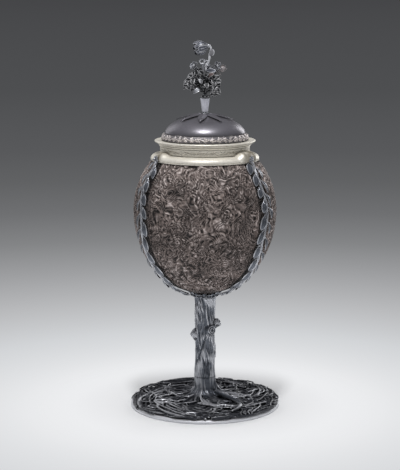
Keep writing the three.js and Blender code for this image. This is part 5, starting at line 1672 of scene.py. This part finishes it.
class CupBouquet(bpy.types.Operator):
    """Builds the bouquet's core, flowers, leaves and sprays"""
    bl_idname = "cup.bouquet"
    bl_label = "Bouquet"

    def execute(self, context):
        (thin,) = in_mm(context.scene.cup_finial, "leaf_thickness")
        core = Core()
        self.core(core, thin)
        self.flowers(core, thin)
        self.ring_flower(core, thin)
        self.sprays(core, thin)
        self.single_leaves(core, thin)
        return {"FINISHED"}

    def core(self, core, thin):
        rng = random.Random(11)
        skin = Skin()
        half = (core.high - core.low) / 2
        angle = np.linspace(-0.49 * math.pi, 0.49 * math.pi, 40)
        wide = (core.radius - 0.4) * np.cos(angle)[:, None]
        azimuth = circle(48)
        lumps = 1 + 0.09 * np.cos(7 * azimuth + 5 * angle[:, None]) * np.cos(9 * angle[:, None])
        skin.wrapped(around(wide * lumps, azimuth, core.middle + half * np.sin(angle)[:, None]), 0.35)
        for _ in range(90):
            turn, height = rng.uniform(-180, 180), rng.uniform(-7.5, 8.5)
            root = core.on(turn, height, 0.85)
            away = outward(math.radians(turn))
            aim = away * rng.uniform(0.5, 1) + UP * rng.uniform(-0.7, 0.9)
            aim = unit(aim + 0.5 * np.cross(UP, away) * rng.uniform(-1, 1))
            size = rng.uniform(3.4, 6.0) if height > -4 else rng.uniform(2.0, 3.2)
            leaf(skin, root, root + aim * size, 0.6 * UP + away, 0.36 * size, arch=0.15, fold=0.3,
                 thickness=thin, teeth=3, steps=9, across=7, wear=0.3)
        skin.settled("bouquet_heart", "bouquet", 60, "cover", "dark_silver", "bouquet_core")

    def flowers(self, core, thin):
        flowers = [
            # piece, frame node, root on the core, head, facing, radius, petals
            ("left_blossom", "flower_left", (-80, 6), (-7.9, -2, 12), (-0.6, -0.8, 0.5), 3.3, 5),
            ("right_blossom", "flower_right", (72, 6.4), (8.9, -2.2, 12), (0.4, -0.9, 0.3), 3.2, 5),
            ("back_blossom", "flower_back", (170, 6.2), (1.6, 7.2, 10.8), (0.1, 0.9, 0.5), 3.1, 5),
            ("rosy_bud", "bud_right", (96, 3), (11.8, -0.4, 9.0), (0.55, -0.6, 0.5), 2.7, 7),
        ]
        for name, node, root, head, facing, radius, petals in flowers:
            skin = Skin()
            place = core.aside(*head)
            bud = name == "rosy_bud"
            add_flower(skin, place, facing, radius, petals, thin, cup=1.3 if bud else 0.35, layers=2)
            if bud:
                ball(skin, place + unit(facing) * 1.5, 2.4, 10, 14, wear=0.4)
            stem_end = place - unit(facing) * 0.1 * radius
            add_stalk(skin, core.on(*root), stem_end)
            for k in range(4):
                along = core.on(*root) + (stem_end - core.on(*root)) * (0.35 + 0.17 * k)
                aim = unit(np.array(facing, float) + np.array([math.cos(2.4 * k), 0.3, math.sin(2.4 * k)]))
                leaf(skin, along, along + aim * 3.6, UP, 1.15, thickness=thin, teeth=3, steps=8, across=7)
            if bud:
                leaf(skin, core.on(18, 3.6), core.aside(6.6, -6.4, 6.8), (0.1, -1, 0.4), 1.6,
                     thickness=thin, outline=lens, wear=0.4)
            if name == "right_blossom":
                leaf(skin, core.on(30, 8.4), core.aside(8.2, -5.4, 8.2), (0.1, -1, 0.4), 1.7,
                     thickness=thin, outline=lens)
            finish, slot = ("blush", "gilt_silver") if bud else ("petal", "polished_silver")
            skin.settled(name, finish, 60, "cover", slot, node)

    def ring_flower(self, core, thin):
        """An open ring, as of a flower without its heart, with leaves behind it."""
        skin = Skin()
        centre = core.aside(-2.1, -2.9, 15.3)
        turn = np.linspace(0, TURN, 33)[:-1]
        side, up = np.array([1.0, 0.0, 0.0]), unit((0, 0.25, 1))
        tube = circle(10)
        away = side * np.cos(turn)[:, None] + up * np.sin(turn)[:, None]
        wave = 1 + 0.12 * np.cos(6 * turn)[:, None]
        ring = centre + away[:, None] * (1.7 * wave + 0.5 * np.cos(tube))[..., None]
        ring = ring + np.cross(side, up) * (0.5 * np.sin(tube))[None, :, None]
        skin.add(ring, grid(32, 10, True, True), wear=0.85)
        add_stalk(skin, core.on(-35, 7.4), centre - 1.4 * up, 0.6)
        for k in range(5):
            aim = unit(side * math.cos(1.4 * k + 0.4) + up * math.sin(1.4 * k + 0.4) + (0, 0.5, 0))
            leaf(skin, centre + aim + (0, 0.3, 0), centre + 3.1 * aim, (0, -1, 0.2), 0.9, thickness=thin,
                 steps=8, across=7)
        skin.settled("ring_blossom", "petal", 60, "cover", "polished_silver", "ring_flower")

    def sprays(self, core, thin):
        left, right, back = unit((-0.3, -1, 0.1)), unit((0.35, -1, 0.1)), unit((0, 1, 0.1))
        sprays = [
            # piece, frame node, root on the core, twig, leaves, their length and half width, side they face
            ("left_spray", "spray_left", (-75, 1.6),
             [(-7.5, -2.2, 4.4), (-11.6, -2.6, 0), (-13.2, -2.6, -3.2)], 26, 5.4, 2.0, left),
            ("right_spray", "spray_right", (52, 0.4),
             [(6.2, -4.4, 2.6), (8.4, -5, -2.5), (7.2, -5.2, -9)], 40, 5.4, 1.9, right),
            ("back_left_spray", "spray_back_left", (-140, 1),
             [(-6, 4.6, 3.4), (-8.6, 5.2, -1.5), (-7.6, 5.4, -6)], 18, 4.9, 1.7, back),
            ("back_right_spray", "spray_back_right", (145, -1),
             [(5.4, 5.2, 1.2), (7.6, 6, -3.4), (7.4, 6, -7.4)], 16, 4.8, 1.7, back),
        ]
        for seed, (name, node, root, points, leaves, size, half, side) in enumerate(sprays):
            skin = Skin()
            path = [core.on(*root)] + [core.aside(*point) for point in points]
            add_spray(skin, path, leaves, size, half, side, thin, seed)
            skin.settled(name, "bouquet", 60, "cover", "dark_silver", node)

    def single_leaves(self, core, thin):
        leaves = [
            # piece, frame node, root on the core, tip, side it faces, half width, finish, slot
            ("left_leaf", "leaf_left", (-95, -5), (-8.6, -1, -8.6), (-0.5, -0.9, 0.5), 2.1, "petal",
             "polished_silver"),
            # The front leaf takes the bright finish as a painted highlight.
            ("front_leaf", "leaf_front", (-25, -0.6), (-4.8, -6.0, 2.4), (-0.3, -0.8, 0.5), 1.6, "bright",
             "gilt_silver"),
        ]
        for name, node, root, tip, up, half, finish, slot in leaves:
            skin = Skin()
            leaf(skin, core.on(*root), core.aside(*tip), up, half, arch=0.14, thickness=0.7, steps=16,
                 wear=0.8)
            skin.settled(name, finish, 60, "cover", slot, node)


class CupTopFlower(bpy.types.Operator):
    """Builds the drooping flower above the bouquet and its stem"""
    bl_idname = "cup.top_flower"
    bl_label = "Top flower"

    def execute(self, context):
        (thin,) = in_mm(context.scene.cup_finial, "leaf_thickness")
        top = heights("bouquet_core")[1]
        points = np.array([(0.6, 0, -0.9), (0.4, 0.2, 2.9), (2.6, 0.2, 5.9), (3.4, 0, 10.6), (4.3, 0, 14.9),
                           (3.6, 0, 17.7)])
        points = points + top * UP
        skin = Skin()
        swept(skin, curve(points, 60), np.linspace(0.9, 0.72, 61), 12, ridges=3, twist=3, wear=0.9)
        branch = points[3]
        bend = branch + np.array([(0, 0, 0), (2.6, -0.4, 0.6), (3.1, -0.5, 3.2), (1.6, -0.4, 4.6)])
        swept(skin, curve(bend, 24), np.linspace(0.42, 0.34, 25), 8, wear=0.8)
        root, tip = bend[0] + np.array([0.5, -0.2, -0.8]), bend[3] + np.array([0.2, -0.3, 0.4])
        leaf(skin, root, tip, (0.3, -1, 0), 1.7, thickness=thin, outline=lens, steps=12, wear=0.0)
        for root, aim in ((points[2], (-2.4, -0.6, 1.2)), (points[1], (2.2, -1.2, 0.6))):
            leaf(skin, root, root + np.array(aim), (0, -0.5, 1), 0.8, thickness=thin, steps=9, across=7)
        skin.settled("bent_stem", "bright", 60, "cover", "polished_silver", "top_stem")
        self.bloom(points[5] + np.array([-1.3, -0.2, -0.1]), thin)
        return {"FINISHED"}

    def bloom(self, throat, thin):
        """A full, nodding flower that opens to the left, its petals in three rows."""
        aim = unit((-1, -0.28, -0.2))
        side = unit(np.cross(aim, UP))
        up = np.cross(side, aim)
        skin = Skin()
        rows = [
            # petals, radius of their roots and tips, how far they reach, half width, arch
            (6, 0.7, 3.7, 9.8, 3.1, 0.28), (6, 0.6, 2.5, 10.8, 2.6, 0.25), (5, 0.4, 1.2, 11.0, 2.0, 0.2),
        ]
        for row, (petals, narrow, wide, far, half, arch) in enumerate(rows):
            for k in range(petals):
                turn = TURN * (k + 0.5 * row + 0.1) / petals
                away = side * math.cos(turn) + up * math.sin(turn)
                tip = throat + aim * (far + 0.7 * math.sin(5 * turn)) + away * wide
                leaf(skin, throat + away * narrow + aim * 0.2, tip, away, half, arch=arch, fold=-0.3,
                     thickness=thin, outline=rounded, curl=0.05 + 0.08 * (k % 2), steps=16, across=11,
                     wear=0.45)
        ball(skin, throat + aim * 5.0, 3.4, 12, 18, wear=0.3)
        for k in range(6):
            turn = TURN * (k + 0.5) / 6
            away = side * math.cos(turn) + up * math.sin(turn)
            leaf(skin, throat + away * 0.5, throat + away * 2.6 + aim * 3.0, away, 1.1, arch=0.15,
                 thickness=thin, steps=9, across=7)
        ball(skin, throat - aim * 0.1, 1.3, 8, 12)
        skin.settled("nodding_bloom", "petal", 60, "cover", "polished_silver", "top_flower")


# Fasteners inside


class CupFasteners(bpy.types.Operator):
    """Gives the fasteners that stay as frame nodes their finish, and builds the rosette in the bowl"""
    bl_idname = "cup.fasteners"
    bl_label = "Fasteners"

    def execute(self, context):
        for node in ("foot_bridge", "tie_nut", "tie_bolt", "finial_nut", "finial_bolt"):
            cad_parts[node].data.materials.clear()
            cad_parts[node].data.materials.append(finish_for("oxidised"))
        self.rosette(NutForm(context.scene.cup_nut), *in_mm(context.scene.cup_nut, "wall"))
        return {"FINISHED"}

    def rosette(self, form, wall):
        """The washer in the bowl, hidden by eight rounded petals."""
        _, high, wide = extent("bowl_rosette")
        skin = Skin()
        corners = [(TIE_BORE, high - 1.2), (wide * 0.6, high - 1.1), (wide * 0.7, high - 0.5),
                   (wide * 0.5, high), (TIE_BORE, high)]
        turned(skin, eased(corners, 0.2), 60)
        for k in range(8):
            azimuth = TURN * k / 8
            floor_z = form.bottom_at(wide) + wall
            start = around(TIE_BORE + 0.8, azimuth, high - 0.5)
            tip = around(wide - 0.1, azimuth, floor_z + 0.6)
            leaf(skin, start, tip, UP, 2.6, arch=0.06, fold=0.12, thickness=0.7, outline=rounded, steps=12)
        skin.settled("bowl_flower", "gilt", 50, "cup", "gilt_silver", "bowl_rosette")


# Stage


def floor_paint(stage):
    """A lit floor near the cup that runs into an even grey backdrop further off."""
    made, paint = material("floor")
    place = paint.node("ShaderNodeNewGeometry", output="Position")
    flat = paint.node("ShaderNodeVectorMath", {"operation": "MULTIPLY"}, {0: place, 1: (1.0, 1.0, 0.0)})
    away = paint.node("ShaderNodeVectorMath", {"operation": "LENGTH"}, {0: flat}, output="Value")
    near, far = 0.1, 20.0
    steps = {0: away.at_least(near) / near, 1: far / near}
    share = paint.node("ShaderNodeMath", {"operation": "LOGARITHM"}, steps)
    grey = paint.node("ShaderNodeValToRGB", {"stops": [
        (0.0, (0.86, 0.868, 0.885)), (0.058, (0.81, 0.818, 0.834)), (0.17, (0.645, 0.66, 0.68)),
        (0.25, (0.49, 0.496, 0.509)), (0.32, (0.345, 0.349, 0.36)), (0.378, (0.23, 0.234, 0.241)),
        (0.432, (0.159, 0.162, 0.168)), (0.486, (0.12, 0.1225, 0.127)), (0.54, (0.098, 0.1, 0.105)),
        (0.66, (0.076, 0.078, 0.082)), (1.0, (0.06, 0.061, 0.065)),
    ]}, {0: share})
    even = paint.seen() * away.between(0.057, 0.125)
    lit = paint.node("ShaderNodeBsdfDiffuse", None, {"Color": tuple(stage.floor)})
    glow = paint.node("ShaderNodeEmission", None, {"Color": grey, "Strength": 1.0})
    paint.finish(paint.node("ShaderNodeMixShader", None, {0: even, 1: lit, 2: glow}))
    return made


def area_light(name, place, target, width, depth, power):
    lamp = bpy.data.lights.new(name, "AREA")
    lamp.shape, lamp.size, lamp.size_y, lamp.energy = "RECTANGLE", width, depth, power
    made = bpy.data.objects.new(name, lamp)
    made.location = place
    made.rotation_euler = (Vector(target) - Vector(place)).to_track_quat("-Z", "Y").to_euler()
    made.visible_camera = False
    bpy.context.scene.collection.objects.link(made)


class CupStage(bpy.types.Operator):
    """Builds the camera, the floor, the lamps and the world"""
    bl_idname = "cup.stage"
    bl_label = "Stage"

    def execute(self, context):
        scene, stage = context.scene, context.scene.cup_stage
        self.camera(scene, stage)
        self.floor(stage)
        middle = (0, 0, 0.14)
        area_light("top_light", (-0.02, -0.34, 0.95), middle, 0.07, 0.07, stage.top_power)
        area_light("left_light", (-0.8, 0.95, 0.6), middle, 0.7, 0.9, stage.left_power)
        area_light("right_light", (0.7, 1.05, 0.5), middle, 0.4, 0.6, stage.right_power)
        self.world(scene, stage)
        scene.view_settings.view_transform = "Standard"
        return {"FINISHED"}

    def camera(self, scene, stage):
        camera = bpy.data.objects.new("camera", bpy.data.cameras.new("camera"))
        camera.data.lens = stage.lens
        camera.location = (stage.camera_side, -stage.camera_distance, stage.camera_height)
        camera.rotation_euler = (math.pi / 2 - stage.camera_pitch, 0, 0)
        camera.data.clip_end = 100
        scene.collection.objects.link(camera)
        scene.camera = camera

    def floor(self, stage):
        """A round floor whose rings are closer near the cup."""
        columns = 96
        rings = np.array([1.0, 100.0, 300.0, 1000.0, 5000.0, stage.floor_radius / MM])
        points = around(rings[:, None], circle(columns), 0.0)
        skin = Skin()
        skin.add(points, grid(len(rings), columns, round_columns=True))
        skin.add([(0, 0, 0)], np.zeros((0, 4), int))
        centre = len(rings) * columns
        j = np.arange(columns)
        skin.triangles.append(np.stack([np.full(columns, centre), (j + 1) % columns, j], 1))
        floor = skin.piece("floor", floor_paint(stage))

    def world(self, scene, stage):
        """Even light from all round, and a backdrop that only what is seen meets."""
        world = bpy.data.worlds.new("studio")
        world.use_nodes = True
        scene.world = world
        paint = Paint(world.node_tree, "ShaderNodeOutputWorld")
        direction = paint.node("ShaderNodeTexCoord", output="Generated")
        up = paint.node("ShaderNodeSeparateXYZ", None, {0: direction}, output="Z")
        backdrop = paint.node("ShaderNodeValToRGB", {"stops": [
            (0.0, (0.06, 0.061, 0.065)), (0.3, (0.07, 0.071, 0.077)), (0.75, (0.2, 0.2, 0.22)),
            (1.0, (0.3, 0.3, 0.32)),
        ]}, {0: up.at_least(0.0)})
        even = paint.node("ShaderNodeBackground", None, {"Color": (1.0, 1.0, 1.0), "Strength": stage.ambient})
        shown = paint.node("ShaderNodeBackground", None, {"Color": backdrop, "Strength": 1.0})
        paint.finish(paint.node("ShaderNodeMixShader", None, {0: paint.seen(), 1: even, 2: shown}))


class CupPanel(bpy.types.Panel):
    """Lists the cup's pieces and their settings"""
    bl_idname = "CUP_PT_panel"
    bl_label = "Coconut cup"
    bl_space_type = "VIEW_3D"
    bl_region_type = "UI"
    bl_category = "Cup"

    def draw(self, context):
        for operator in OPERATORS:
            self.layout.operator(operator.bl_idname)
        for name, group in SETTINGS.items():
            box = self.layout.box()
            box.label(text=group.__doc__)
            for key in group.__annotations__:
                box.prop(getattr(context.scene, name), key)


SETTINGS = {
    "cup_foot": FootSettings, "cup_trunk": TrunkSettings, "cup_nut": NutSettings, "cup_straps": StrapSettings,
    "cup_collar": CollarSettings, "cup_cover": CoverSettings, "cup_finial": FinialSettings,
    "cup_finish": FinishSettings, "cup_stage": StageSettings,
}
OPERATORS = [
    CupStage, CupFoot, CupTrunk, CupCalyx, CupNut, CupCollar, CupStraps, CupCoverRings, CupDome, CupHolder,
    CupBouquet, CupTopFlower, CupFasteners,
]


def register():
    for group in (*SETTINGS.values(), *OPERATORS, CupPanel):
        bpy.utils.register_class(group)
    for name, group in SETTINGS.items():
        setattr(bpy.types.Scene, name, bpy.props.PointerProperty(type=group))


def unregister():
    for name in SETTINGS:
        delattr(bpy.types.Scene, name)
    for group in reversed((*SETTINGS.values(), *OPERATORS, CupPanel)):
        bpy.utils.unregister_class(group)


def main():
    register()
    for operator in OPERATORS:
        group, name = operator.bl_idname.split(".")
        getattr(getattr(bpy.ops, group), name)()
    bpy.context.view_layer.update()


if __name__ == "__main__":
    main()
